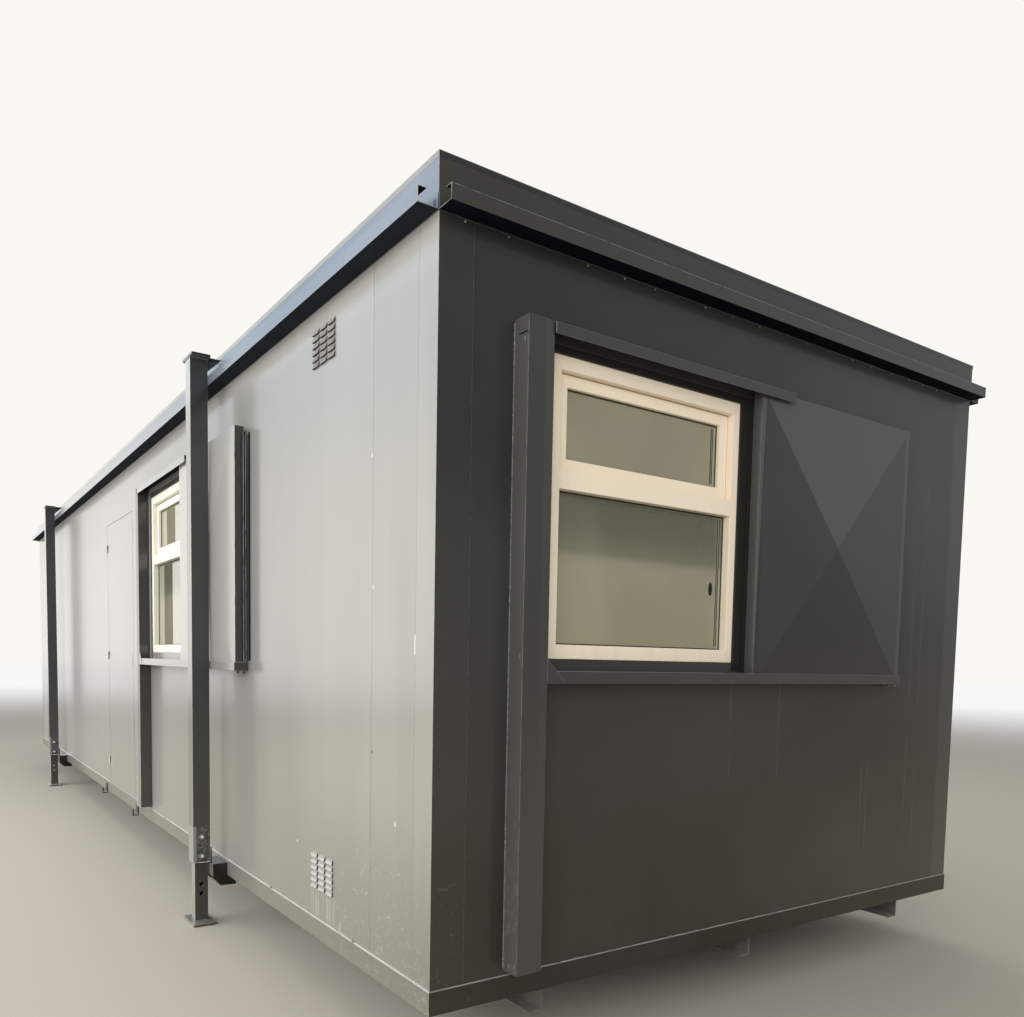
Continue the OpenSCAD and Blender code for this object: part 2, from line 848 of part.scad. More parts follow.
// The arm that carries the floor frame: a plate on the outer tube and a box under the base rail
module floor_arm() {
    x0 = tube_w / 2;
    x1 = x0 + gutter_out;
    top = base_z + arm_up;
    low = base_z - arm_down;
    half = arm_w / 2;
    cheeks(arm_w) polygon([[x0, top], [x1, top], [x1, base_z], [x1 + arm_in, base_z],
                           [x1 + arm_in, low], [x0 + arm_slant, low], [x0, base_z - arm_tip]]);
    block([x0, -half, base_z - arm_tip], [x0 + bracket_t, half, top]);
    block([x0, -half, top - bracket_t], [x1, half, top]);
    block([x0 + arm_slant, -half, low], [x1 + arm_in, half, low + bracket_t]);
    block([x0, -tube_w / 2, top - bracket_t], [x0 + bracket_t, tube_w / 2, base_z + arm_plate_h]);
}

module leg_brackets() {
    color(steel) for (side = [-1, 1], y = leg_ys) leg_at(side, y) {
        upper_bracket();
        floor_arm();
    }
}

base_rail_front();
base_rail_rear();
base_rail_left();
base_rail_right();
floor_joists();
runners();
floor_deck();
corner_posts();
front_wall();
rear_wall();
right_wall();
left_wall_corner();
left_wall_window();
left_wall_over_door();
left_wall_far();
ceiling();
fascia_front();
fascia_rear();
fascia_left();
fascia_right();
roof_skin();
gutter_front();
gutter_rear();
gutter_left();
gutter_right();
on_front() window_frame();  // front_window_frame
on_front() window_vent();  // front_window_vent
on_front() window_glass();  // front_window_glass
on_left() window_frame();  // left_window_frame
on_left() window_vent();  // left_window_vent
on_left() window_glass();  // left_window_glass
on_front() shutter_post();  // front_shutter_post
on_front() shutter_hood();  // front_shutter_hood
on_front() shutter_sill();  // front_shutter_sill
on_front() shutter();  // front_shutter
on_left() shutter_post();  // left_shutter_post
on_left() shutter_hood();  // left_shutter_hood
on_left() shutter_sill();  // left_shutter_sill
on_left() shutter();  // left_shutter
door_frame();
door_leaf();
step_lugs();
leg_at(-1, leg_ys[0]) jack_leg();  // jack_leg_front_left
leg_at(1, leg_ys[0]) jack_leg();  // jack_leg_front_right
leg_at(-1, leg_ys[1]) jack_leg();  // jack_leg_rear_left
leg_at(1, leg_ys[1]) jack_leg();  // jack_leg_rear_right
inner_legs_front();
inner_legs_rear();
leg_bolts();
leg_brackets();
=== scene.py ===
"""Looks of a portable site cabin with sliding window shutters and telescopic legs."""
import math
import random

import bmesh
import bpy
from mathutils import Matrix, Vector


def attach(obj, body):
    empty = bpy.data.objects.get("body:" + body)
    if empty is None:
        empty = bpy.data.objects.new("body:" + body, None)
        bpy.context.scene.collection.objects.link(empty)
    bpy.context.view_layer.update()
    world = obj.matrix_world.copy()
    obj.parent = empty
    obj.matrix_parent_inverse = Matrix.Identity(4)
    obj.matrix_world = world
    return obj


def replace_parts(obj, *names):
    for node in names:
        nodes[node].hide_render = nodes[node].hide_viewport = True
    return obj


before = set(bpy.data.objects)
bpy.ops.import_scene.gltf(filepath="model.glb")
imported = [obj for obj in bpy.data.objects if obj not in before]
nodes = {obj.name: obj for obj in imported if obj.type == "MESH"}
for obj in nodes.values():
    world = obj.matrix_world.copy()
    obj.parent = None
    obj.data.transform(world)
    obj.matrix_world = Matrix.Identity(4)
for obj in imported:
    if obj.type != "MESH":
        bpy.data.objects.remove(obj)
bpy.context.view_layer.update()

# Places that the CAD part gives, in metres: half the width and length, then heights
HALF_W, HALF_L = 1.525, 4.875
BASE, DECK, EAVES, ROOF = 0.250, 0.333, 2.728, 2.898
# How far the wall sheets lie behind the rails' faces
SKIN = 0.004
# The joints beside the corner posts, on the end walls and on the long walls
POST_SEAM, LONG_SEAM = 1.401, 4.751
# A wall with a window has its own frame: u along it from the shutter's post, v inwards, z up
FRONT_START, LEFT_START = -1.240, -0.915
FRONT = Matrix.Translation((FRONT_START, -HALF_L, 0))
LEFT = Matrix.Translation((-HALF_W, LEFT_START, 0)) @ Matrix.Rotation(math.radians(-90), 4, "Z")
WALLS = {"front": FRONT, "left": LEFT}
# A window's sides and ends in that frame, and the v of its face
W0, W1, SILL_Z, HEAD_Z = 0.158, 1.078, 1.398, 2.409
FACE = 0.006
# Its panes: u, u, z, z, and the v of the glass
PANES = {"upper": (0.241, 0.995, 2.079, 2.317, 0.050), "lower": (0.196, 1.040, 1.448, 1.971, 0.040)}
# The ventilators: their place along a long wall, and their two heights
VENT_Y, VENT_ZS = -3.994, (BASE + 0.277, BASE + 2.332)
# The jack legs: axes, half widths of the outer tube and the inner leg, ends of the tube, heights of the bolts
LEG_X, LEG_YS = 1.6405, (-2.645, 2.925)
TUBE, INNER = 0.0425, 0.0325
TUBE_BOTTOM, TUBE_TOP = 0.318, 2.855
BOLT_ZS = (0.354, 0.454)
# Their base plates: half width, half length and top
PLATE_X, PLATE_Y, PLATE_TOP = 0.0560, 0.0988, 0.0125
random.seed(11)


class Value:
    """A number or colour that varies over a surface. Arithmetic on it adds Math nodes."""

    def __init__(self, finish, socket):
        self.finish, self.socket = finish, socket

    def math(self, operation, *numbers):
        return self.finish.node("Math", {"operation": operation}, dict(enumerate(numbers)))[0]

    def __add__(self, other):
        return self.math("ADD", self, other)

    def __sub__(self, other):
        return self.math("SUBTRACT", self, other)

    def __rsub__(self, other):
        return self.math("SUBTRACT", other, self)

    def __mul__(self, other):
        return self.math("MULTIPLY", self, other)

    def __truediv__(self, other):
        return self.math("DIVIDE", self, other)

    def __mod__(self, other):
        return self.math("FLOORED_MODULO", self, other)

    def __pow__(self, other):
        return self.math("POWER", self, other)

    def __abs__(self):
        return self.math("ABSOLUTE", self)

    def __lt__(self, other):
        return self.math("LESS_THAN", self, other)

    def __gt__(self, other):
        return self.math("GREATER_THAN", self, other)

    __radd__ = __add__
    __rmul__ = __mul__

    def rise(self, low, high):
        """0 at low, 1 at high and smooth between them; low may be the larger."""
        sockets = {"Value": self, "From Min": low, "From Max": high}
        return self.finish.node("MapRange", {"interpolation_type": "SMOOTHSTEP"}, sockets)[0]

    def near(self, place, half, soft=0.0):
        """1 within half of place, fading over soft."""
        away = abs(self - place)
        return away.rise(half + soft, half) if soft else away < half

    def either(self, other):
        return self.math("MAXIMUM", self, other)

    def capped(self):
        return self.math("MINIMUM", self, 1)


class Finish:
    """A material, built node by node on Object coordinates."""

    def __init__(self, name):
        self.material = bpy.data.materials.new(name)
        self.material.use_nodes = True
        self.tree = self.material.node_tree
        self.tree.nodes.clear()
        where = self.node("TexCoord")
        self.place = where["Object"]
        split = self.node("SeparateXYZ", sockets={0: self.place})
        self.x, self.y, self.z = split[0], split[1], split[2]
        faces = self.node("SeparateXYZ", sockets={0: where["Normal"]})
        self.turned, self.up = faces[0], faces[2]
        self.sideways = abs(self.turned)

    def node(self, kind, settings=None, sockets=None):
        made = self.tree.nodes.new("ShaderNode" + kind)
        for key, value in (settings or {}).items():
            setattr(made, key, value)
        for key, value in (sockets or {}).items():
            if isinstance(value, Value):
                self.tree.links.new(value.socket, made.inputs[key])
            else:
                made.inputs[key].default_value = value
        outputs = [Value(self, o) for o in made.outputs]
        return {**dict(enumerate(outputs)), **{o.socket.name: o for o in outputs}}

    def mapped(self, stretch, shift):
        return self.node("Mapping", sockets={0: self.place, "Scale": stretch, "Location": (shift,) * 3})[0]

    def noise(self, scale, detail=3.0, rough=0.55, stretch=(1, 1, 1), shift=0.0):
        where = self.mapped(stretch, shift)
        sockets = {"Vector": where, "Scale": scale, "Detail": detail, "Roughness": rough}
        return self.node("TexNoise", sockets=sockets)[0]

    def cells(self, scale, stretch=(1, 1, 1), shift=0.0):
        where = self.mapped(stretch, shift)
        return self.node("TexVoronoi", sockets={"Vector": where, "Scale": scale})["Distance"]

    def blend(self, mask, low, high):
        def colour(c):
            return c if isinstance(c, Value) else (*c, 1)
        sockets = {0: mask, 6: colour(low), 7: colour(high)}
        return self.node("Mix", {"data_type": "RGBA"}, sockets)[2]

    def bump(self, height, strength, distance, under=None):
        sockets = {"Strength": strength, "Distance": distance, "Height": height}
        if under:
            sockets["Normal"] = under
        return self.node("Bump", sockets=sockets)[0]

    def shine(self, colour, **sockets):
        """The Principled shader; underscores in the names stand for spaces."""
        given = {k.replace("_", " "): v for k, v in sockets.items()}
        given["Base Color"] = colour if isinstance(colour, Value) else (*colour, 1)
        return self.node("BsdfPrincipled", sockets=given)[0]

    def show(self, shader):
        self.node("OutputMaterial", sockets={0: shader})
        return self.material


# The paint: fresh and faded, cool to the right, paler in a band at mid height, darker and browner low down as
# painted warm bounce and shade, darker at the top as painted shade, and what painted sky light and dust make
# of it
PAINT, PALE_PAINT = (0.021, 0.0215, 0.021), (0.044, 0.045, 0.043)
WARM_LOW_SHADE, COOL = (0.013, 0.012, 0.007), (0.056, 0.059, 0.062)
PALER_MIDDLE, TOP_SHADE = (0.056, 0.056, 0.051), (0.020, 0.020, 0.022)
SKYLIGHT_TINT, BRIGHT_SKYLIGHT, LAVENDER_SKYLIGHT = (0.190, 0.187, 0.165), (0.44, 0.43, 0.39), (0.27, 0.28, 0.34)
# How much painted sky light the long sides' paint takes
SKYLIGHT_SHARE = 0.85
DUST, SOIL, RUST = (0.230, 0.212, 0.180), (0.105, 0.098, 0.070), (0.20, 0.075, 0.030)
# Panel joints, the light along them, and faint upright marks on the panels
JOINT, JOINT_LIGHT, MARK = (0.012, 0.012, 0.012), (0.20, 0.20, 0.19), (0.22, 0.22, 0.21)
# Wear, from bright metal to dull; painted edge highlights, bright and dim; near black for flecks, hollows and
# painted shade
BARE, DIM_RAIL_HIGHLIGHT = (0.70, 0.70, 0.67), (0.26, 0.26, 0.24)
EDGE_HIGHLIGHT, DIM_EDGE_HIGHLIGHT = (0.42, 0.42, 0.39), (0.125, 0.124, 0.118)
SCUFF, FLECK, POST_SCUFF = (0.34, 0.335, 0.31), (0.07, 0.07, 0.062), (0.17, 0.17, 0.18)
DEEP = (0.003, 0.003, 0.004)
# Water marks: white drips under the ventilators, and long run-off
DRIP, RUN_OFF = (0.52, 0.52, 0.49), (0.105, 0.104, 0.096)
# Painted light on single pieces, the lower ventilator's hoods and the door's hinges, and where the hinges lie
LIT_HOODS, HINGE_SKYLIGHT = (0.45, 0.45, 0.42), (0.52, 0.51, 0.46)
HINGE_YS, HINGE_X = (0.4655, 0.4795), 1.5215
# Scuffs on the legs, and painted light and shade by the way a face turns: the legs' front faces, the gutters'
# fronts and long sides, the posts' fronts and the shutters' facets
LEG_SCUFF, LEG_OUTER, LEG_FRONT_SHADE = (0.20, 0.205, 0.21), (0.30, 0.315, 0.32), (0.034, 0.038, 0.044)
GUTTER_FRONT_LIGHT, GUTTER_SIDE_SKYLIGHT, POST_FRONT_LIGHT = (0.062, 0.059, 0.051), (0.080, 0.112, 0.150), (0.060, 0.060, 0.056)
UPPER_FACET, RIGHT_FACET, LOWER_FACET = (0.088, 0.088, 0.085), (0.050, 0.053, 0.058), (0.018, 0.018, 0.015)
LIT_FACET = (0.40, 0.41, 0.41)
# The room's lining, and the cover strips on it
LINING, LINING_STRIP = (0.74, 0.74, 0.71), (0.55, 0.55, 0.53)
LINING_X, LINING_Y, LINING_STEP = 1.471, 4.821, 1.2
# Scratches thicken from the first of these heights down to the second
SCRATCH_TOP, SCRATCH_LOW = 1.05, 0.40


def coat_of_paint(f, skylight, olive, tone, peak_light):
    """The paint's colour: clouded and finely grained, cool to the right, and with painted light. Where olive
    is given, it is paler in a band at mid height, darker and browner low down as painted warm bounce and
    shade, and darker at the top as painted shade. Faces turned to the long sides take painted sky light.

    tone scales the painted sky light's colour, and the last argument is the brighter colour that it turns to
    at the eaves and by the front corner.
    """
    cloud = f.noise(1.3, 4, 0.6)
    fine = f.noise(38, 3, 0.6)
    colour = f.blend(cloud.rise(0.30, 0.75) * 0.5 + fine.rise(0.35, 0.7) * 0.15, PAINT, PALE_PAINT)
    colour = f.blend(f.x.rise(-1.3, 1.4) * f.z.rise(0.7, 2.2) * 0.6, colour, COOL)
    # Painted warm bounce and shade: darker and browner low down. Then paler in a band at mid height to the
    # left, and darker at the top to the left, as painted shade under the eaves
    if olive:
        brown = f.noise(2.1, 3, 0.6, shift=9).rise(0.15, 0.6) * 0.7 + 0.3
        colour = f.blend(f.z.rise(1.7, 0.6) * brown * olive, colour, WARM_LOW_SHADE)
        middle = f.z.near(1.35, 0.25, 0.60) * f.x.rise(0.7, -0.5)
        colour = f.blend(middle * 0.42, colour, PALER_MIDDLE)
        colour = f.blend(f.z.rise(1.9, 2.6) * f.x.rise(-0.1, -1.4) * 0.30, colour, TOP_SHADE)
    # Painted sky light on the faces turned to the long sides: mottled, and brightest at the eaves and towards
    # the front corner
    if skylight:
        film = f.noise(0.9, 4, 0.55, (1, 1, 0.5), 12).rise(0.20, 0.80) * 0.18 + 0.70
        film = film + f.noise(5, 3, 0.6, (1, 1, 0.06), 1).rise(0.2, 0.7) * 0.12
        lift = f.z.rise(2.35, 2.65) * 0.25 + f.z.rise(2.56, 2.725) * 0.75
        lift = lift + f.y.rise(-3.0, -4.6) * f.z.rise(0.30, 1.0) * 0.64
        skylit = f.blend(lift.capped(), [c * tone for c in SKYLIGHT_TINT], peak_light)
        colour = f.blend(film * f.sideways.rise(0.5, 0.9) * skylight, colour, skylit)
    return colour, cloud, fine


def scratches(f, amount):
    """Short curly scratches and chipped dots on the long sides, thickest low down by the front corner."""
    low = f.z.rise(SCRATCH_TOP, SCRATCH_LOW) * (0.3 + f.y.rise(-3.4, -4.5) * 0.7)
    low = low * (f.sideways.rise(0.3, 0.8) * 0.85 + 0.15)
    curls = abs(f.noise(17, 1.0, 0.4, shift=2) - 0.5) < 0.009
    curls = curls * f.noise(26, 2, 0.6, shift=5).rise(0.52, 0.57)
    curls = curls * f.noise(3, 2, 0.6, shift=4).rise(0.34, 0.50)
    strokes = abs(f.noise(9, 0.5, 0.3, (1, 1, 0.35), 21) - 0.5) < 0.005
    strokes = strokes * f.noise(20, 2, 0.6, shift=7).rise(0.54, 0.58)
    dots = f.cells(80, (1, 1, 0.6), 1.7).rise(0.22, 0.13) * f.noise(5, 3, 0.6, shift=8).rise(0.40, 0.56)
    return (curls + strokes + dots).capped() * low * amount


def paint(name, joints=(), marks=(), dust=(0.30, 1.10), dust_most=0.35, wave=0.0, worn=0.0, skylight=0.0,
          olive=0.0, bare_band=None, bare=BARE, lined=False, rust=0.0, roof=False, rough=0.26, sheen=0.20,
          drips=None, edge_tone=None, tone=1.0, peak_light=BRIGHT_SKYLIGHT, detail=None):
    """Dark semi-gloss paint on steel.

    joints and marks are (axis, place, low z, high z), and drips is (axis, place, half width, top). Dust thins
    out between the two heights in dust, and a pale band shows between those in bare_band. skylight, the
    amount of painted sky light on sideways faces, olive, that of painted warm bounce and shade, worn, rust
    and wave are amounts. detail is a function that adds its own marks and painted light to the colour, last.
    """
    f = Finish(name)
    colour, cloud, fine = coat_of_paint(f, skylight, olive, tone, peak_light)
    # Painted highlight: a pale tone laid over the whole finish, for rounded edges that catch the light
    if edge_tone:
        colour = f.blend(f.noise(25, 3, 0.6, shift=4).rise(0.30, 0.60) * 0.8 + 0.2, colour, edge_tone)
    runs = f.noise(9, 3, 0.6, (1, 1, 0.06))
    low = f.z.rise(ROOF - 0.004, ROOF - 0.001) if roof else f.z.rise(dust[1], dust[0])
    powder = low * (0.35 + f.noise(6, 5, 0.65, shift=3) * 0.9) * (0.65 + runs.rise(0.30, 0.62) * 0.35)
    powder = (powder * dust_most).capped()
    colour = f.blend(powder, colour, DUST)
    roughness = rough + cloud * 0.06 + powder * 0.42 + fine * 0.04
    height = f.noise(260, 2, 0.5) * 0.05
    for axis, place, z0, z1 in joints:
        line = getattr(f, axis).near(place, 0.0012) * (f.z > z0) * (f.z < z1)
        colour = f.blend(line, colour, JOINT)
        height = height - line
        beside = getattr(f, axis).near(place - math.copysign(0.0032, place), 0.0008, 0.0008) * (f.z > z0)
        colour = f.blend(beside * (f.z < z1) * fine.rise(0.3, 0.6) * 0.30, colour, JOINT_LIGHT)
    for axis, place, z0, z1 in marks:
        faint = f.noise(30, 2, 0.5, (1, 1, 0.3), place)
        line = getattr(f, axis).near(place, 0.0008, 0.0014) * f.z.near((z0 + z1) / 2, (z1 - z0) / 2, 0.02)
        colour = f.blend(line * faint.rise(0.25, 0.6) * 0.42, colour, MARK)
    if worn:
        scored = scratches(f, worn)
        colour = f.blend(scored, colour, SCUFF)
        roughness = roughness + scored * 0.2
        height = height - scored * 0.3
    if drips:
        axis, place, half, top = drips
        run = f.noise(60, 2, 0.5, (1, 1, 0.03), 6).rise(0.52, 0.62) * getattr(f, axis).near(place, half, 0.02)
        run = run * f.z.rise(top, top - 0.02) * f.z.rise(DECK, DECK + 0.03) * 0.35
        colour = f.blend(run, colour, DRIP)
    if rust:
        eaten = f.noise(14, 5, 0.7, shift=5).rise(0.60, 0.72) * rust
        colour = f.blend(eaten, colour, RUST)
        roughness = roughness + eaten * 0.35
        height = height + eaten * 0.4
    # A pale band in metal colours: on the rails it is a painted highlight along their upper edges
    if bare_band:
        z0, z1 = bare_band
        rubbed = f.z.near((z0 + z1) / 2, (z1 - z0) / 2, 0.0008)
        rubbed = rubbed * f.noise(22, 4, 0.7, (1, 1, 0.1), 2).rise(0.20, 0.40)
        colour = f.blend(rubbed, colour, bare)
    if detail:
        colour = detail(f, colour)
    if lined:
        inside = (abs(f.x) < LINING_X) * (abs(f.y) < LINING_Y)
        across, along = f.x % LINING_STEP, f.y % LINING_STEP
        strips = along.near(LINING_STEP / 2, 0.02) + across.near(LINING_STEP / 2, 0.02) * (abs(f.y) > 4.75)
        colour = f.blend(inside, colour, f.blend(strips * 0.35, LINING, LINING_STRIP))
        roughness = roughness + inside * 0.2
    normal = f.bump(height, 0.35, 0.002)
    if wave:
        swell = f.noise(1.7, 1, 0.4, (1, 1, 0.45), 4) + f.noise(0.8, 1, 0.4, shift=6)
        normal = f.bump(swell, wave, 0.05, normal)
    return f.show(f.shine(colour, Roughness=roughness, Normal=normal, Coat_Weight=1.0, Coat_Roughness=0.14,
                          Coat_IOR=1.5, Sheen_Weight=sheen, Sheen_Roughness=0.45))


# Dirt on the ivory window frames, and the dirt in their mitred joints
IVORY_GRIME, IVORY_STAIN, IVORY_MITRE = (0.50, 0.46, 0.36), (0.42, 0.38, 0.28), (0.30, 0.27, 0.20)
# The film of dirt on the glass, which also stands in for what it mirrors, and a darker band of painted
# reflection in the upper part of the lower pane
FILM, PALE_FILM, DARK_REFLECTION_BAND = (0.60, 0.56, 0.38), (0.72, 0.67, 0.47), (0.40, 0.38, 0.28)


def window_plastic(name, across, sign, start, low, high):
    """Window plastic in colours given for each wall, which carry painted light.

    across is the axis along the wall; start and sign place a window on it.
    """
    f = Finish(name)
    soft = f.noise(3, 3, 0.6)
    grime = f.noise(11, 4, 0.7, (1, 1, 0.2), 2)
    colour = f.blend(soft, low, high)
    colour = f.blend(grime.rise(0.55, 0.8) * 0.16, colour, IVORY_GRIME)
    u = (getattr(f, across) - start) * sign
    from_side = (W1 - W0) / 2 - abs(u - (W0 + W1) / 2)
    from_end = (HEAD_Z - SILL_Z) / 2 - abs(f.z - (SILL_Z + HEAD_Z) / 2)
    mitre = (from_side - from_end).near(0, 0.0005) * (from_side < 0.038)
    stain = f.z.rise(SILL_Z + 0.12, SILL_Z) * f.noise(16, 4, 0.7, (1, 1, 0.15), 5).rise(0.45, 0.7) * 0.12
    colour = f.blend(stain, colour, IVORY_STAIN)
    colour = f.blend(mitre * 0.55, colour, IVORY_MITRE)
    normal = f.bump(f.noise(420, 2, 0.5) * 0.3 - mitre, 0.25, 0.001)
    return f.show(f.shine(colour, Roughness=0.28 + grime * 0.12, Normal=normal))


def window_glass():
    """Clear glass under an olive film of dirt, mirroring at a glance; its paler and darker tones are painted
    reflection.
    """
    f = Finish("window_glass")
    film = f.noise(1.6, 3, 0.6)
    smear = f.noise(6, 4, 0.7, (1, 1, 0.3), 3)
    colour = f.blend(film, FILM, PALE_FILM)
    colour = f.blend(f.z.rise(1.70, 1.90) * (f.z < 2.0), colour, DARK_REFLECTION_BAND)
    dirt = f.shine(colour, Roughness=0.35)
    clear = f.node("BsdfTransparent", sockets={0: (0.80, 0.84, 0.78, 1)})[0]
    # Painted reflection: the upper pane and the lower part of the lower one show more of the film, less clear
    # glass
    pale = f.z.rise(2.02, 2.04).either(f.z.rise(1.785, 1.745))
    share = 0.27 + pale * 0.17 + film * 0.12 + smear * 0.06
    pane = f.node("MixShader", sockets={0: share, 1: clear, 2: dirt})[0]
    mirror = f.shine((0.95, 0.96, 0.94), Metallic=1.0, Roughness=0.03)
    share = f.node("Fresnel", sockets={"IOR": 1.52})[0] * 1.7
    return f.show(f.node("MixShader", sockets={0: share, 1: pane, 2: mirror})[0])


def spacer():
    f = Finish("glass_spacer")
    slots = (f.z % 0.008).near(0.004, 0.001)
    colour = f.blend(slots * 0.5, (0.40, 0.40, 0.37), (0.12, 0.12, 0.11))
    return f.show(f.shine(colour, Metallic=0.5, Roughness=0.4 + slots * 0.2))


def weld_metal():
    f = Finish("weld_metal")
    spots = f.noise(240, 3, 0.7)
    colour = f.blend(spots.rise(0.35, 0.65), (0.10, 0.10, 0.095), (0.42, 0.41, 0.38))
    normal = f.bump(spots, 0.3, 0.001)
    return f.show(f.shine(colour, Metallic=0.3, Roughness=0.35 + spots * 0.2, Normal=normal))


def rubber():
    f = Finish("rubber_seal")
    grain = f.noise(300, 2, 0.6)
    colour = f.blend(grain, (0.010, 0.010, 0.010), (0.024, 0.024, 0.023))
    return f.show(f.shine(colour, Roughness=0.62, Normal=f.bump(grain, 0.15, 0.001)))


def dark_hollow(name, low, high):
    """Painted shade for faces turned to the ground and shaded recesses: near black, bluish, with little
    shine.
    """
    f = Finish(name)
    grime = f.noise(8, 3, 0.6)
    return f.show(f.shine(f.blend(grime, low, high), Roughness=0.8, IOR=1.15))


def zinc():
    f = Finish("zinc_steel")
    patch = f.cells(90)
    worn = f.noise(60, 4, 0.7)
    colour = f.blend(patch.rise(0.0, 0.6), (0.86, 0.86, 0.84), (0.66, 0.66, 0.63))
    colour = f.blend(worn.rise(0.62, 0.75) * 0.5, colour, RUST)
    normal = f.bump(worn, 0.2, 0.001)
    return f.show(f.shine(colour, Metallic=0.35, Roughness=0.36 + worn * 0.2, Normal=normal))


def floor_board():
    f = Finish("floor_board")
    grain = f.noise(6, 5, 0.7, (1, 0.12, 1))
    flecks = f.cells(240).rise(0.3, 0.1)
    colour = f.blend(grain, (0.26, 0.25, 0.23), (0.36, 0.35, 0.32))
    colour = f.blend(flecks * 0.3, colour, (0.12, 0.12, 0.12))
    return f.show(f.shine(colour, Roughness=0.45 + grain * 0.1, Normal=f.bump(grain, 0.1, 0.001)))


def white_board():
    f = Finish("white_board")
    mottled = f.noise(20, 4, 0.6)
    half = LINING_STEP / 2
    line = (f.y % LINING_STEP).near(half, 0.003).either((f.x % LINING_STEP).near(half, 0.003))
    colour = f.blend(mottled, LINING, (0.80, 0.80, 0.77))
    colour = f.blend(line * 0.5, colour, (0.45, 0.45, 0.43))
    return f.show(f.shine(colour, Roughness=0.6, Normal=f.bump(mottled, 0.1, 0.001)))


# Knocks in the long wall's paint: y, z, half width, half height and colour
CHIPS = ((-4.422, 2.090, 0.003, 0.007, BARE), (-4.436, 1.636, 0.003, 0.006, BARE),
         (-4.439, 1.058, 0.006, 0.005, DEEP), (-4.748, 1.434, 0.003, 0.030, BARE),
         (-4.768, 0.742, 0.003, 0.026, BARE), (-2.10, 0.52, 0.010, 0.008, BARE),
         (-3.72, 0.61, 0.006, 0.005, BARE), (-4.62, 0.83, 0.004, 0.008, BARE))


def chips(f, colour):
    """Small knocks in the long wall's paint, painted light on the lower ventilator's hoods, run-off, and low
    flecks.
    """
    ragged = f.noise(140, 3, 0.7, shift=3) * 0.012 - 0.006
    for y, z, half_y, half_z, tone in CHIPS:
        spot = (f.y + ragged).near(y, half_y, 0.002) * (f.z + ragged).near(z, half_z, 0.002)
        colour = f.blend(spot * 0.75, colour, tone)
    # Painted light: the lower ventilator's hoods are paler than the wall
    hoods = f.y.near(VENT_Y, 0.115, 0.002) * f.z.near(VENT_ZS[0], 0.085, 0.002) * (abs(f.x) > HALF_W + 0.0012)
    colour = f.blend(hoods * 0.7, colour, LIT_HOODS)
    run = f.noise(26, 3, 0.6, (1, 1, 0.02), 8).rise(0.52, 0.66)
    run = run * f.z.near(1.15, 0.45, 0.35) * f.y.rise(-1.9, -0.6)
    colour = f.blend(run * 0.40, colour, RUN_OFF)
    flecks = f.noise(70, 3, 0.65, shift=14).rise(0.58, 0.68)
    flecks = flecks * f.z.rise(0.95, 0.45) * f.y.rise(-3.5, -4.5)
    return f.blend(flecks * 0.35, colour, FLECK)


def leg_wear(f, colour):
    """Scuffed metal round a leg's bolts; painted shade on its front and back faces and its arm; a black top.
    """
    zone = f.z.near(0.412, 0.092, 0.006)
    flecks = f.noise(85, 3, 0.7, shift=6)
    colour = f.blend(zone * flecks.rise(0.50, 0.60) * 0.55, colour, LEG_SCUFF)
    colour = f.blend(zone * flecks.rise(0.46, 0.38) * 0.8, colour, DEEP)
    outer = abs(f.x).rise(LEG_X + TUBE - 0.018, LEG_X + TUBE - 0.013) * zone
    colour = f.blend(outer * 0.75, colour, LEG_OUTER)
    # Painted shade: near black on the arm under the cabin, and darker front and back faces higher up. The top
    # is near black too
    arm = (abs(f.x) < LEG_X - TUBE - 0.001) * (f.z < 0.45) * f.sideways.rise(0.6, 0.3)
    colour = f.blend(f.sideways.rise(0.4, 0.2) * f.z.rise(0.3, 0.9) * 0.5, colour, LEG_FRONT_SHADE)
    return f.blend(arm.either(f.z > TUBE_TOP - 0.002), colour, DEEP)


def gutter_patch_and_light(f, colour):
    """A black patch low in a gutter's back at each corner; painted light: a browner front, a bluer long side.
    """
    dark = abs(f.y).near(HALF_L - 0.021, 0.009, 0.002) * f.z.near(EAVES + 0.022, 0.010, 0.003)
    to_front = f.sideways.rise(0.4, 0.2) * f.z.rise(EAVES - 0.2, EAVES)
    colour = f.blend(to_front * 0.4, colour, GUTTER_FRONT_LIGHT)
    to_side = f.sideways.rise(0.5, 0.9)
    colour = f.blend(to_side * f.y.rise(-4.75, -3.6) * 0.7, colour, GUTTER_SIDE_SKYLIGHT)
    return f.blend(dark * to_side * (abs(f.x) < HALF_W + 0.010), colour, DEEP)


def trodden(f, colour):
    """Soil on the foot plates."""
    soil = f.noise(60, 3, 0.6).rise(0.35, 0.65) * f.z.rise(0.05, 0.01)
    return f.blend(soil.either(f.up.rise(0.5, 0.9) * (f.z < 0.02)) * 0.8, colour, SOIL)


def post_light_and_scuffs(f, colour):
    """A paler front face as painted light, and rubbed places low on a post's side."""
    colour = f.blend((f.sideways < 0.3) * 0.6, colour, POST_FRONT_LIGHT)
    rubbed = f.noise(55, 4, 0.7, (1, 1, 0.5), 9).rise(0.50, 0.66) * f.z.rise(1.2, 0.5)
    return f.blend(rubbed * f.sideways.rise(0.5, 0.9) * 0.6, colour, POST_SCUFF)


def pressed(f, colour):
    """The front shutter is cross-broken, and three of its four facets take the light differently."""
    flat = f.sideways < 0.3
    colour = f.blend(f.up.rise(0.003, 0.013) * (f.up < 0.3) * flat * 0.8, colour, UPPER_FACET)
    colour = f.blend(f.turned.rise(0.004, 0.015) * flat * 0.6, colour, RIGHT_FACET)
    return f.blend(f.up.rise(-0.004, -0.013) * flat * (f.up > -0.3) * 0.6, colour, LOWER_FACET)


def pressed_side(f, colour):
    """The left shutter's upper facet is paler, as painted light from above."""
    facet = f.up.rise(0.003, 0.013) * (f.up < 0.3) * f.sideways.rise(0.5, 0.9)
    return f.blend(facet * 0.18, colour, LIT_FACET)


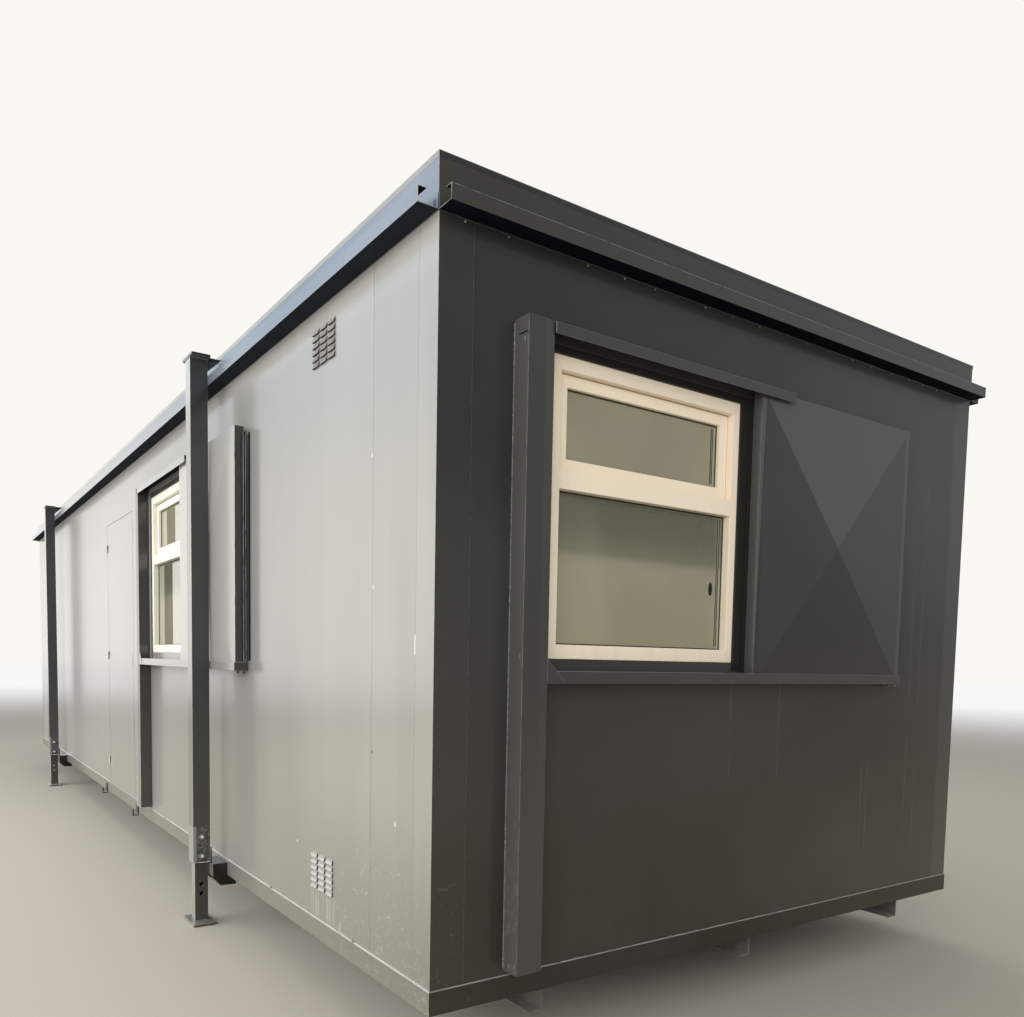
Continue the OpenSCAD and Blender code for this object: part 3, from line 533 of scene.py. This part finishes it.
def hinge_line(f, colour):
    """The hinges are painted pale, as the wall's painted sky light, so that their shaded faces don't show."""
    return f.blend((f.y > HINGE_YS[0]) * (f.y < HINGE_YS[1]) * (abs(f.x) > HINGE_X), colour, HINGE_SKYLIGHT)


# The height of a wall, the joints beside the ventilator panel, and the width of a panel on the right wall
ALL_UP = (DECK, EAVES)
VENT_SEAM = -4.430
RIGHT_PANEL = 1.188
END_JOINTS = [("x", -POST_SEAM, *ALL_UP), ("x", POST_SEAM, *ALL_UP)]
END_MARKS = [("x", -0.155, 0.95, 1.32), ("x", 0.145, 0.93, 1.30), ("x", 0.755, 0.55, 0.95),
             ("x", 0.800, 0.55, 0.95), ("x", 1.115, 0.60, 1.95), ("x", 1.195, 0.50, 2.40)]
LEFT_JOINTS = [("y", place, *ALL_UP) for place in (-LONG_SEAM, VENT_SEAM, LONG_SEAM)]
LEFT_MARKS = [("y", VENT_SEAM + 0.6 * i, *ALL_UP) for i in range(1, 8)]
RIGHT_JOINTS = [("y", -LONG_SEAM + RIGHT_PANEL * i, *ALL_UP) for i in range(9)]
# White drips run down from the lower ventilators, and a painted highlight runs along the rails' upper edges
VENT_DRIPS = ("y", VENT_Y, 0.11, 0.46)
RAIL_HIGHLIGHT = (DECK - 0.0035, 9.0)

# The front end wall, corner posts and end rails are darker and browner low down as painted warm bounce and
# shade. Most other finishes take painted sky light on their sideways faces, and tone brightens it
end_wall = paint("end_wall_paint", END_JOINTS, END_MARKS, wave=0.10, lined=True, dust_most=0.06, olive=0.9)
rear_wall = paint("rear_wall_paint", END_JOINTS, [("x", -0.6, *ALL_UP), ("x", 0.6, *ALL_UP)], wave=0.10,
                  lined=True, dust_most=0.2)
left_wall = paint("left_wall_paint", LEFT_JOINTS, LEFT_MARKS, wave=0.10, worn=1.0, lined=True, rough=0.27,
                  dust_most=0.45, skylight=SKYLIGHT_SHARE, sheen=0.55, drips=VENT_DRIPS, detail=chips)
right_wall = paint("right_wall_paint", RIGHT_JOINTS, wave=0.10, worn=0.6, lined=True, rough=0.27,
                   skylight=SKYLIGHT_SHARE * 0.8, sheen=0.4, drips=VENT_DRIPS)
corner = paint("corner_post_paint", wave=0.06, worn=0.8, rough=0.27, skylight=0.95, olive=0.9, dust_most=0.05,
               tone=1.15, sheen=0.35)
plain = paint("steel_paint", dust_most=0.10, skylight=SKYLIGHT_SHARE)
fascia = paint("fascia_paint", dust_most=0.10, skylight=SKYLIGHT_SHARE, peak_light=LAVENDER_SKYLIGHT, detail=gutter_patch_and_light)
front_steel = paint("front_shutter_paint", dust_most=0.10, skylight=SKYLIGHT_SHARE * 0.45, peak_light=SKYLIGHT_TINT,
                    detail=post_light_and_scuffs)
front_leaf = paint("front_shutter_leaf_paint", dust_most=0.10, skylight=SKYLIGHT_SHARE * 0.2, detail=pressed)
left_steel = paint("left_shutter_paint", dust_most=0.10, skylight=0.90, peak_light=SKYLIGHT_TINT, sheen=0.5)
left_leaf = paint("left_shutter_leaf_paint", dust_most=0.10, skylight=0.95, tone=1.42, sheen=0.6,
                  detail=pressed_side)
# Painted highlights on worn edges, laid on the rounded edges of parts: bright, and dimmer on the front wall's
# parts
edge = paint("worn_edge_highlight_paint", dust_most=0.0, edge_tone=EDGE_HIGHLIGHT)
dim_edge_highlight = paint("dim_edge_highlight_paint", dust_most=0.0, edge_tone=DIM_EDGE_HIGHLIGHT)
edges = {"front": dim_edge_highlight, "left": edge}
door_paint = paint("door_paint", wave=0.06, rough=0.27, dust_most=0.3, skylight=SKYLIGHT_SHARE, sheen=0.55, worn=0.4,
                   detail=hinge_line)
gutter = paint("gutter_paint", dust_most=0.0, skylight=SKYLIGHT_SHARE, peak_light=LAVENDER_SKYLIGHT, detail=gutter_patch_and_light)
rail = paint("rail_paint", bare_band=RAIL_HIGHLIGHT, rust=0.25, dust=(0.20, 0.5), dust_most=0.5, skylight=SKYLIGHT_SHARE,
             worn=0.9)
# The end rails: painted warm bounce and shade, and a dimmer painted highlight along their upper edges
end_rail = paint("end_rail_paint", bare_band=RAIL_HIGHLIGHT, rust=0.25, dust_most=0.0, olive=0.55, sheen=0.0,
                 bare=DIM_RAIL_HIGHLIGHT)
under = paint("underframe_paint", dust=(0.1, 0.6), dust_most=0.8, rust=0.9)
lugs = paint("lug_paint", dust_most=0.05, sheen=0.0, rust=0.3)
roof = paint("roof_paint", dust_most=0.5, roof=True, skylight=SKYLIGHT_SHARE * 0.8)
leg = paint("leg_paint", dust=(0.0, 0.9), dust_most=0.2, rust=0.2, worn=0.8, skylight=SKYLIGHT_SHARE, detail=leg_wear,
            bare_band=(TUBE_BOTTOM - 0.001, TUBE_BOTTOM + 0.0035))
bracket = paint("bracket_paint", rough=0.60, sheen=0.0, dust_most=0.1, rust=0.3, skylight=SKYLIGHT_SHARE, detail=leg_wear)
foot = paint("foot_paint", dust=(0.0, 0.5), dust_most=0.15, rust=0.5, skylight=0.95, tone=1.9, detail=trodden)
# One white plastic: the end wall's is cream as painted warm bounce light, the long side's greyer
front_plastic = window_plastic("front_window_plastic", "x", 1, FRONT_START,
                               (0.97, 0.84, 0.66), (0.99, 0.88, 0.71))
left_plastic = window_plastic("left_window_plastic", "y", -1, LEFT_START,
                              (0.76, 0.73, 0.63), (0.80, 0.78, 0.69))
plastics = {"front": front_plastic, "left": left_plastic}
glass, seal, spacer_metal, bead = window_glass(), rubber(), spacer(), weld_metal()
# Painted shade, paler for the long sides' gutters
painted_shade = dark_hollow("painted_shade", (0.005, 0.006, 0.011), (0.010, 0.011, 0.019))
side_painted_shade = dark_hollow("side_painted_shade", (0.015, 0.018, 0.027), (0.024, 0.027, 0.037))
painted_shades = {"front": painted_shade, "rear": painted_shade, "left": side_painted_shade, "right": side_painted_shade}
bolt, boards, lining = zinc(), floor_board(), white_board()

SIDES = ("front", "rear", "left", "right")
LEGS = ("front_left", "front_right", "rear_left", "rear_right")
# The parts that guide a shutter, with the radius of their edges
GUIDES = {"_shutter_post": 0.0030, "_shutter_hood": 0.0024, "_shutter_sill": 0.0024}
FINISHES = {
    end_wall: ["front_wall"],
    rear_wall: ["rear_wall"],
    left_wall: ["left_wall_corner", "left_wall_window", "left_wall_over_door", "left_wall_far"],
    right_wall: ["right_wall"],
    corner: ["corner_posts"],
    rail: ["base_rail_left", "base_rail_right"],
    end_rail: ["base_rail_front", "base_rail_rear"],
    under: ["floor_joists", "runners"],
    lugs: ["step_lugs"],
    roof: ["roof_skin"],
    gutter: ["gutter_" + side for side in SIDES],
    door_paint: ["door_frame", "door_leaf"],
    fascia: ["fascia_" + side for side in SIDES],
    front_steel: ["front" + part for part in GUIDES],
    front_leaf: ["front_shutter"],
    left_steel: ["left" + part for part in GUIDES],
    left_leaf: ["left_shutter"],
    leg: ["jack_leg_" + name for name in LEGS],
    bracket: ["leg_brackets"],
    foot: ["inner_legs_front", "inner_legs_rear"],
    front_plastic: ["front_window_frame", "front_window_vent"],
    left_plastic: ["left_window_frame", "left_window_vent"],
    glass: [w + "_window_glass" for w in WALLS],
    boards: ["floor_deck"],
    lining: ["ceiling"],
    plain: ["leg_bolts"],
}
for finish, names in FINISHES.items():
    for name in names:
        nodes[name].data.materials.clear()
        nodes[name].data.materials.append(finish)


def shown(name, mesh, finish):
    """Makes an object of a bmesh."""
    data = bpy.data.meshes.new(name)
    mesh.to_mesh(data)
    mesh.free()
    data.materials.append(finish)
    made = bpy.data.objects.new(name, data)
    bpy.context.scene.collection.objects.link(made)
    return made


def piece(name, body, mesh, finish):
    """Makes an object of a bmesh and lets it ride on a body."""
    made = shown(name, mesh, finish)
    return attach(made, body)


def ease(mesh, sharp, radius):
    """Rounds edges in two steps, and gives the new faces."""
    return bmesh.ops.bevel(mesh, geom=sharp, offset=radius, segments=2, profile=0.5, affect="EDGES",
                           clamp_overlap=True, material=-1)["faces"]


def bar(mesh, middle, size):
    """Adds a block to a bmesh, and gives its corners."""
    matrix = Matrix.Translation(middle) @ Matrix.Diagonal((*size, 1))
    return bmesh.ops.create_cube(mesh, size=1, matrix=matrix)["verts"]


# Edges that turn by more than SHARP are rounded, and faces that turn by less than FLAT are joined
SHARP, FLAT = math.radians(28), math.radians(1)


def soften(node, radius, rim=None, where=None, under=None, shape=None, body="cabin"):
    """Stands a copy with rounded edges in a CAD node's place.

    rim is the finish of the rounded edges, on those that where picks by their middle. under is the finish
    of the faces that look down, and shape changes the copy before its edges are rounded.
    """
    mesh = bmesh.new()
    mesh.from_mesh(nodes[node].data)
    bmesh.ops.remove_doubles(mesh, verts=mesh.verts, dist=1e-5)
    bmesh.ops.dissolve_limit(mesh, angle_limit=FLAT, verts=mesh.verts, edges=mesh.edges)
    if shape:
        shape(mesh)
    eased = ease(mesh, [e for e in mesh.edges if e.is_manifold and e.calc_face_angle(0) > SHARP], radius)
    finishes = [nodes[node].data.materials[0], rim or edge, under or edge]
    for face in eased:
        if rim and (not where or where(face.calc_center_median())):
            face.material_index = 1
    mesh.normal_update()
    for face in mesh.faces:
        if under and face.normal.z < -0.7:
            face.material_index = 2
    made = piece(node + "_rounded", body, mesh, finishes[0])
    if rim or under:
        for finish in finishes[1:]:
            made.data.materials.append(finish)
    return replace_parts(made, node)


def off_wall(w):
    """Picks the edges of a wall-mounted part that stand clear of its wall."""
    back = WALLS[w].inverted()
    return lambda at: (back @ at).y < -0.012


def gutter_rim(side):
    """Picks the top of a gutter's lip, and the upright and lower edges of its open ends."""
    def wanted(at):
        out, along = abs(at.x) - HALF_W, abs(at.y) - HALF_L
        if side in ("front", "rear"):
            out, along = along, out
        at_end = along > -0.0025
        return (out > 0.069 and (at.z > EAVES + 0.045 or at_end)) or (at_end and at.z < EAVES + 0.002)
    return wanted


def thin_lap(mesh):
    """Brings the lower edge of the roof sheet's lap in against the fascia."""
    lap = 0.0004
    for v in mesh.verts:
        if v.co.z < ROOF - 0.010:
            v.co.x = math.copysign(min(abs(v.co.x), HALF_W + lap), v.co.x)
            v.co.y = math.copysign(min(abs(v.co.y), HALF_L + lap), v.co.y)


# Where a rim finish is given, the picked rounded edges take painted highlights; where an under finish is
# given, the faces that look down take painted shade
for side in SIDES:
    soften("base_rail_" + side, 0.0014, edge, where=lambda at: at.z > DECK - 0.01)
    soften("gutter_" + side, 0.0018, edge, where=gutter_rim(side), under=painted_shades[side])
    soften("fascia_" + side, 0.0009)
for w in WALLS:
    soften(w + "_window_frame", 0.0028)
    soften(w + "_window_vent", 0.0022)
    for part, radius in GUIDES.items():
        soften(w + part, radius, edges[w], where=off_wall(w), under=painted_shade)
    soften(w + "_shutter", 0.0014, edges[w], where=off_wall(w), body=w + "_shutter")
for name in LEGS:
    soften("jack_leg_" + name, 0.0018, edge, where=lambda at: at.z > 0.30)
for end in ("front", "rear"):
    soften("inner_legs_" + end, 0.0016, edge, where=lambda at: at.z < 0.013)
soften("leg_bolts", 0.0018, bolt)
soften("leg_brackets", 0.0010, edge)
soften("step_lugs", 0.0015)
soften("roof_skin", 0.0018, shape=thin_lap)

# A window seal's width, how far it stands out from the glass, and the radius of its edges
SEAL_WIDTH, SEAL_OUT, SEAL_EASE = 0.0045, 0.0025, 0.0008


def seal_ring(name, place, u0, u1, z0, z1, v):
    """A rubber bead round a pane: the inset border of a rectangle, drawn out from the glass and rounded."""
    mesh = bmesh.new()
    corners = [(u0, z0), (u1, z0), (u1, z1), (u0, z1)]
    face = mesh.faces.new([bmesh.ops.create_vert(mesh, co=(u, v, z))["vert"][0] for u, z in corners])
    # Without a normal the inset would have no width
    mesh.normal_update()
    bmesh.ops.inset_region(mesh, faces=[face], thickness=SEAL_WIDTH, use_even_offset=True, use_boundary=True)
    bmesh.ops.delete(mesh, geom=[face], context="FACES_ONLY")
    drawn = bmesh.ops.extrude_face_region(mesh, geom=list(mesh.faces), use_keep_orig=True)["geom"]
    outer = [part for part in drawn if isinstance(part, bmesh.types.BMVert)]
    bmesh.ops.translate(mesh, verts=outer, vec=(0, -SEAL_OUT, 0))
    bmesh.ops.recalc_face_normals(mesh, faces=mesh.faces)
    ease(mesh, [e for e in mesh.edges if e.calc_face_angle(0) > 1], SEAL_EASE)
    mesh.transform(place)
    return piece(name, "cabin", mesh, seal)


for w, place in WALLS.items():
    for pane, sizes in PANES.items():
        seal_ring(f"{w}_{pane}_seal", place, *sizes)


def boxes(name, finish, corners, place=Matrix(), body="cabin"):
    """Thin bars with eased edges, each between two corners of a frame."""
    mesh = bmesh.new()
    for low, high in corners:
        low, high = Vector(low), Vector(high)
        bar(mesh, (low + high) / 2, high - low)
    ease(mesh, mesh.edges[:], 0.0015)
    mesh.transform(place)
    return piece(name, body, mesh, finish)


def strips(name, finish, corners, slot="anthracite_paint"):
    """The same bars on each wall with a window. finish is one for both walls, or one for each."""
    for w, place in WALLS.items():
        boxes(f"{w}_{name}", finish[w] if isinstance(finish, dict) else finish, corners, place)


# Strips on the wall lie between these v, and the painted shade strips on the wall and on the left shutter's
# lip between these z
OUT, IN = -0.002, 0.0045
SHADE_Z0, SHADE_Z1 = 1.366, 2.432
# Painted shade: dark rubber strips beside the window on the shutter's side and over its head, where the wall
# lies in shade behind the shutter and under the hood
strips("gap_shade_strips", seal, [((W1 + 0.001, OUT, SILL_Z - 0.030), (W1 + 0.052, IN, HEAD_Z + 0.026)),
                                ((W0, OUT, HEAD_Z + 0.001), (W1, IN, HEAD_Z + 0.0265))])
strips("post_flange", {"front": front_steel, "left": left_steel},
       [((0.1068, OUT, 1.3590), (W0 - 0.0005, IN, 2.4355))])
# Painted highlights along the posts' outer edges
strips("post_edges", edges, [((-0.0008, -0.0758, 0.353), (0.0020, -0.0730, 2.471))])
# Painted shade: black strips on the wall and on the left shutter's lip, where the space behind the lip lies
# in shade
boxes("left_shutter_gap_shade", painted_shade, [((2.181, -0.0015, SHADE_Z0), (2.192, IN, SHADE_Z1))], LEFT)
boxes("left_lip_shade", painted_shade, [((2.156, -0.0162, SHADE_Z0), (2.1795, -0.0149, SHADE_Z1))], LEFT, "left_shutter")

# The glazing spacer that shows through a pane by its far side. It is laid on the face of the glass, as a pale
# line between two dark ones, each by its two distances from the pane's side
pale_lines, dark_lines = [], []
SPACER = (dark_lines, 0.018, 0.0215), (pale_lines, 0.022, 0.0275), (dark_lines, 0.028, 0.031)
for _, u1, z0, z1, v in PANES.values():
    for lines, near, far in SPACER:
        lines.append(((u1 - far, v - 0.0012, z0 + 0.013), (u1 - near, v + 0.0010, z1 - 0.013)))
strips("spacer_sides", spacer_metal, pale_lines, slot="zinc_steel")
strips("spacer_shades", seal, dark_lines)


def studs(name, places, radius, height, finish, taper=0.6, segments=12):
    """Round heads on a surface. places are pairs of a foot and the way it faces."""
    mesh = bmesh.new()
    for foot_at, way in places:
        turn = Vector(way).to_track_quat("Z", "Y").to_matrix().to_4x4()
        middle = Matrix.Translation(Vector(foot_at) + Vector(way) * height / 2)
        bmesh.ops.create_cone(mesh, cap_ends=True, segments=segments, radius1=radius, radius2=radius * taper,
                              depth=height, matrix=middle @ turn)
    return piece(name, "cabin", mesh, finish)


def weld(name, runs, radius):
    """Weld beads: overlapping drops along each run."""
    mesh = bmesh.new()
    for start, end in runs:
        start, end = Vector(start), Vector(end)
        steps = max(1, int((end - start).length / (radius * 1.3)))
        for i in range(steps + 1):
            size = radius * random.uniform(0.8, 1.15)
            bmesh.ops.create_icosphere(mesh, subdivisions=1, radius=size,
                                       matrix=Matrix.Translation(start.lerp(end, i / steps)))
    return piece(name, "cabin", mesh, bead)


# One ventilator hood: its size, the steps from hood to hood, and the slope of its face
HOOD_SIZE, HOOD_STEP_Y, HOOD_STEP_Z, HOOD_SLOPE = (0.009, 0.057, 0.019), 0.076, 0.025, 0.0075


def louvres(name, side, finish):
    """Pressed hoods over the wall's slots: sloped sheets with cheeks, open below."""
    sheet = HALF_W - SKIN
    mesh = bmesh.new()
    for z in VENT_ZS:
        for column in (-1, 0, 1):
            for row in range(6):
                middle = (side * (sheet + 0.0045), VENT_Y + column * HOOD_STEP_Y,
                          z + (row - 2.5) * HOOD_STEP_Z + 0.002)
                hood = bar(mesh, middle, HOOD_SIZE)
                outer_top = [v for v in hood if v.co.z > middle[2] and abs(v.co.x) > sheet + 0.004]
                bmesh.ops.translate(mesh, verts=outer_top, vec=(-side * HOOD_SLOPE, 0, 0))
    mesh.normal_update()
    open_faces = [f for f in mesh.faces if f.normal.z < -0.9 or f.normal.x * side < -0.9]
    bmesh.ops.delete(mesh, geom=open_faces, context="FACES_ONLY")
    bmesh.ops.solidify(mesh, geom=list(mesh.faces), thickness=0.0012)
    bmesh.ops.recalc_face_normals(mesh, faces=mesh.faces)
    return piece(name, "cabin", mesh, finish)


louvres("left_louvres", -1, left_wall)
louvres("right_louvres", 1, right_wall)

# Fixings along the tops of the walls, under the gutters. On the end walls they are measured from the left
TOP = EAVES - 0.006
fixings = [x - HALF_W for x in (0.095, 0.256, 0.579, 0.745, 0.890, 1.147, 1.299, 1.456, 1.758, 1.903, 2.070,
                                2.204, 2.363, 2.505, 2.619, 2.745)]
heads = [((x, s * (HALF_L - SKIN), TOP), (0, s, 0)) for x in fixings for s in (-1, 1)]
heads += [((s * (HALF_W - SKIN), -4.6 + 0.46 * i, TOP), (s, 0, 0)) for i in range(21) for s in (-1, 1)]
studs("wall_top_fixings", heads, 0.0036, 0.0020, edge, segments=10)

legs = [(side * LEG_X, y) for side in (-1, 1) for y in LEG_YS]
bolts_at = [(x, y + s * TUBE, z, s) for x, y in legs for s in (-1, 1) for z in BOLT_ZS]
studs("leg_washers", [((x, y, z), (0, s, 0)) for x, y, z, s in bolts_at], 0.0205, 0.0030, plain,
      taper=0.94, segments=24)
# The bolts' ends, in bright zinc, which also stand in for the glint on the bolts
studs("leg_bolt_tips", [((x, y + s * 0.012, z), (0, s, 0)) for x, y, z, s in bolts_at], 0.0095, 0.0040, bolt,
      taper=0.7, segments=16)

# Painted highlights along the worn upper edges of the base plates
RIM, RIM_Z, RIM_END = 0.0014, 0.0104, 0.0992
plate_edges = []
for x, y in legs:
    for s in (-1, 1):
        by_side, by_end = x + s * PLATE_X, y + s * PLATE_Y
        plate_edges.append(((by_side - RIM, y - RIM_END, RIM_Z), (by_side + RIM, y + RIM_END, PLATE_TOP)))
        plate_edges.append(((x - PLATE_X, by_end - RIM, RIM_Z), (x + PLATE_X, by_end + RIM, PLATE_TOP)))
boxes("foot_plate_edges", edge, plate_edges)


def upright(x, y, z0, z1):
    return (x, y, z0), (x, y, z1)


# Beads at a leg's bracket and arm, round the foot of its inner leg and under its top plate
CAP = TUBE_TOP - 0.001
seams = []
for x, y in legs:
    inner = x - math.copysign(TUBE, x)
    for s in (-1, 1):
        seams += [upright(inner, y + s * 0.0305, 2.802, 2.852),
                  upright(inner, y + s * TUBE, 0.262, 0.388),
                  ((x - INNER, y + s * INNER, PLATE_TOP), (x + INNER, y + s * INNER, PLATE_TOP)),
                  ((x + s * INNER, y - INNER, PLATE_TOP), (x + s * INNER, y + INNER, PLATE_TOP)),
                  ((x - TUBE, y + s * TUBE, CAP), (x + TUBE, y + s * TUBE, CAP)),
                  ((x + s * TUBE, y - TUBE, CAP), (x + s * TUBE, y + TUBE, CAP))]
weld("leg_welds", seams, 0.0038)

# Short beads, this long, along the top of the base rails
SPOT = 0.012
end_y, side_x = HALF_L - SKIN / 2, -HALF_W + SKIN / 2
spots = [((x - HALF_W, s * end_y, DECK), (x - HALF_W + SPOT, s * end_y, DECK))
         for x in (0.595, 0.751, 1.057, 1.201) for s in (-1, 1)]
spots += [((side_x, y, DECK), (side_x, y + SPOT, DECK)) for y in (-4.3, -3.4, -2.1, -1.4, 1.3, 2.4, 3.6)]
weld("rail_welds", spots, 0.0048)

# Beads on a shutter's post, as u, v, z and z: four spots, one down its back, and one at the hood and the sill
POST_SPOTS = ((-0.060, 1.398), (-0.055, 2.395), (-0.062, 0.372), (-0.030, 0.368))
POST_BEADS = [(0, v, z, z + SPOT) for v, z in POST_SPOTS]
POST_BEADS += [(-0.0005, 0.0030, 0.36, 2.46), (0.108, -0.0755, 2.440, 2.470), (0.108, -0.0655, 1.320, 1.354)]
guide_welds, sill_ends = [], []
for place in WALLS.values():
    guide_welds += [[place @ Vector(end) for end in upright(*run)] for run in POST_BEADS]
    sill_ends += [(place @ Vector((2.152, v, 1.316)), (0, 0, -1)) for v in (-0.046, -0.018)]
weld("guide_welds", guide_welds, 0.0030)
studs("sill_end_bolts", sill_ends, 0.008, 0.012, plain, taper=0.9)


def drains(w, place):
    """Caps over the drain slots in the bottom member of a window frame."""
    mesh = bmesh.new()
    for u in (W0 + 0.125, W1 - 0.125):
        bar(mesh, (u, FACE - 0.0015, SILL_Z + 0.005), (0.034, 0.005, 0.008))
    ease(mesh, mesh.edges[:], 0.0018)
    mesh.transform(place)
    piece(w + "_drain_caps", "cabin", mesh, plastics[w])


def catch(w, place):
    """The window's catch, which shows in the lower pane. It is set into the face of the glass."""
    mesh = bmesh.new()
    shape = Matrix.Translation((0.979, 0.0385, 1.686)) @ Matrix.Diagonal((0.0105, 0.0030, 0.0260, 1))
    bmesh.ops.create_uvsphere(mesh, u_segments=20, v_segments=12, radius=1, matrix=shape)
    mesh.transform(place)
    piece(w + "_window_catch", "cabin", mesh, seal)


for w, place in WALLS.items():
    drains(w, place)
    catch(w, place)

# The studio floor: its colour near the object and far from it, what gloss sees of it, and its white rim
FLOOR_NEAR, FLOOR_FAR, FLOOR_IN_GLOSS = (0.48, 0.445, 0.395), (0.80, 0.80, 0.80), (0.31, 0.275, 0.200)
RIM_WHITE = (0.93, 0.93, 0.93, 1)


def open_to(x, y):
    """Grows towards the bright side of the studio, off the far end of the long wall with the door."""
    return y * 0.85 - x * 0.5


def backdrop():
    floor = Finish("studio_floor")
    far = (floor.x * floor.x + floor.y * floor.y) ** 0.5
    ray = floor.node("LightPath")
    colour = floor.blend(far.rise(9, 26), FLOOR_NEAR, FLOOR_FAR)
    colour = floor.blend(ray["Is Glossy Ray"], colour, FLOOR_IN_GLOSS)
    lit = floor.shine(colour, Roughness=0.9)
    flat = floor.node("Emission", sockets={0: RIM_WHITE})[0]
    open_side = (open_to(floor.x, floor.y) / (far + 0.1)).rise(-0.55, 0.55)
    seen = ray["Is Camera Ray"].either(ray["Is Glossy Ray"] * open_side).either(ray["Is Transmission Ray"])
    material = floor.show(floor.node("MixShader", sockets={0: seen * far.rise(12, 34), 1: lit, 2: flat})[0])
    mesh = bmesh.new()
    bmesh.ops.create_circle(mesh, cap_ends=True, radius=90, segments=64)
    made = shown("studio_floor", mesh, material)
    made.location.z = -0.001


def lamp(name, place, aim, size, power):
    data = bpy.data.lights.new(name, "AREA")
    data.shape, data.size, data.size_y, data.energy = "RECTANGLE", size[0], size[1], power
    made = bpy.data.objects.new(name, data)
    made.location = place
    made.rotation_euler = (Vector(aim) - Vector(place)).to_track_quat("-Z", "Y").to_euler()
    made.visible_glossy = False
    bpy.context.scene.collection.objects.link(made)


class Sky(Finish):
    """The world's nodes, made the same way."""

    def __init__(self):
        world = bpy.data.worlds.new("studio")
        world.use_nodes = True
        bpy.context.scene.world = world
        self.tree = world.node_tree
        self.tree.nodes.clear()
        self.place = self.node("TexCoord")["Generated"]
        split = self.node("SeparateXYZ", sockets={0: self.place})
        self.x, self.y, self.z = split[0], split[1], split[2]


# The world's strength to the camera, to the object, and in gloss: the dark side, the bright side and its top
WHITE, SOFT_LIGHT, DARK_GLOSS, BRIGHT_GLOSS, TOP_LOSS = 0.95, 0.62, 0.13, 1.02, 0.38
WARM_WHITE, BLUE_TOP = (1.0, 0.985, 0.94), (0.56, 0.80, 1.05)


def studio_sky():
    """A white studio, in gloss brightest off the long wall with the door, and bluer and darker above."""
    s = Sky()
    ray = s.node("LightPath")
    seen = ray["Is Camera Ray"].either(ray["Is Transmission Ray"])
    open_side = open_to(s.x, s.y).rise(-0.55, 0.55)
    high = s.z.rise(0.02, 0.50)
    right = s.x.rise(0.30, 0.95) * (1 - open_side) * s.z.rise(0.0, 0.22)
    mirrored = DARK_GLOSS + open_side * (BRIGHT_GLOSS - high * TOP_LOSS) + right * 0.12
    gloss = ray["Is Glossy Ray"] * (1 - seen)
    strength = seen * WHITE + gloss * mirrored + (1 - seen) * (1 - ray["Is Glossy Ray"]) * SOFT_LIGHT
    blue = s.z.rise(0.16, 0.44) * open_side + right * 0.3
    tint = s.blend(gloss * blue, WARM_WHITE, BLUE_TOP)
    light = s.node("Background", sockets={0: tint, 1: strength})[0]
    s.node("OutputWorld", sockets={0: light})


# The camera, worked out from the object's edges in the photo: its place in metres and its turns in degrees,
# then in pixels the focal length, the picture's width and middle, and the point the lens looks straight at
CAMERA_AT, CAMERA_TURNS = (-2.851, -7.226, 1.389), (-35.05, -4.09, 1.13)
FOCAL, PICTURE, MIDDLE, STRAIGHT = 866.8, 1024, (512, 508.5), (517.6, 722.9)
SENSOR = 36


def photo_camera():
    yaw, pitch, roll = (math.radians(a) for a in CAMERA_TURNS)
    ahead = Vector((-math.sin(yaw) * math.cos(pitch), math.cos(yaw) * math.cos(pitch), math.sin(pitch)))
    side = Vector((math.cos(yaw), math.sin(yaw), 0))
    up = side.cross(ahead)
    across = side * math.cos(roll) + up * math.sin(roll)
    over = up * math.cos(roll) - side * math.sin(roll)
    data = bpy.data.cameras.new("photo_camera")
    data.sensor_width, data.lens = SENSOR, FOCAL / PICTURE * SENSOR
    data.shift_x, data.shift_y = (MIDDLE[0] - STRAIGHT[0]) / PICTURE, (STRAIGHT[1] - MIDDLE[1]) / PICTURE
    data.clip_end = 400
    made = bpy.data.objects.new("photo_camera", data)
    turn = Matrix((across, over, -ahead)).transposed().to_4x4()
    made.matrix_world = Matrix.Translation(CAMERA_AT) @ turn
    bpy.context.scene.collection.objects.link(made)
    bpy.context.scene.camera = made


photo_camera()
studio_sky()
backdrop()
lamp("left_softbox", (-8.5, 0.0, 3.6), (-1.5, -0.6, 1.5), (11, 5), 720)
lamp("front_softbox", (-8.0, -11.5, 4.5), (-0.5, -4.5, 1.4), (8, 5), 480)
lamp("top_softbox", (1.0, 0.0, 9.0), (0.0, 0.0, 0.0), (6, 12), 380)
bpy.context.scene.view_settings.view_transform = "Standard"
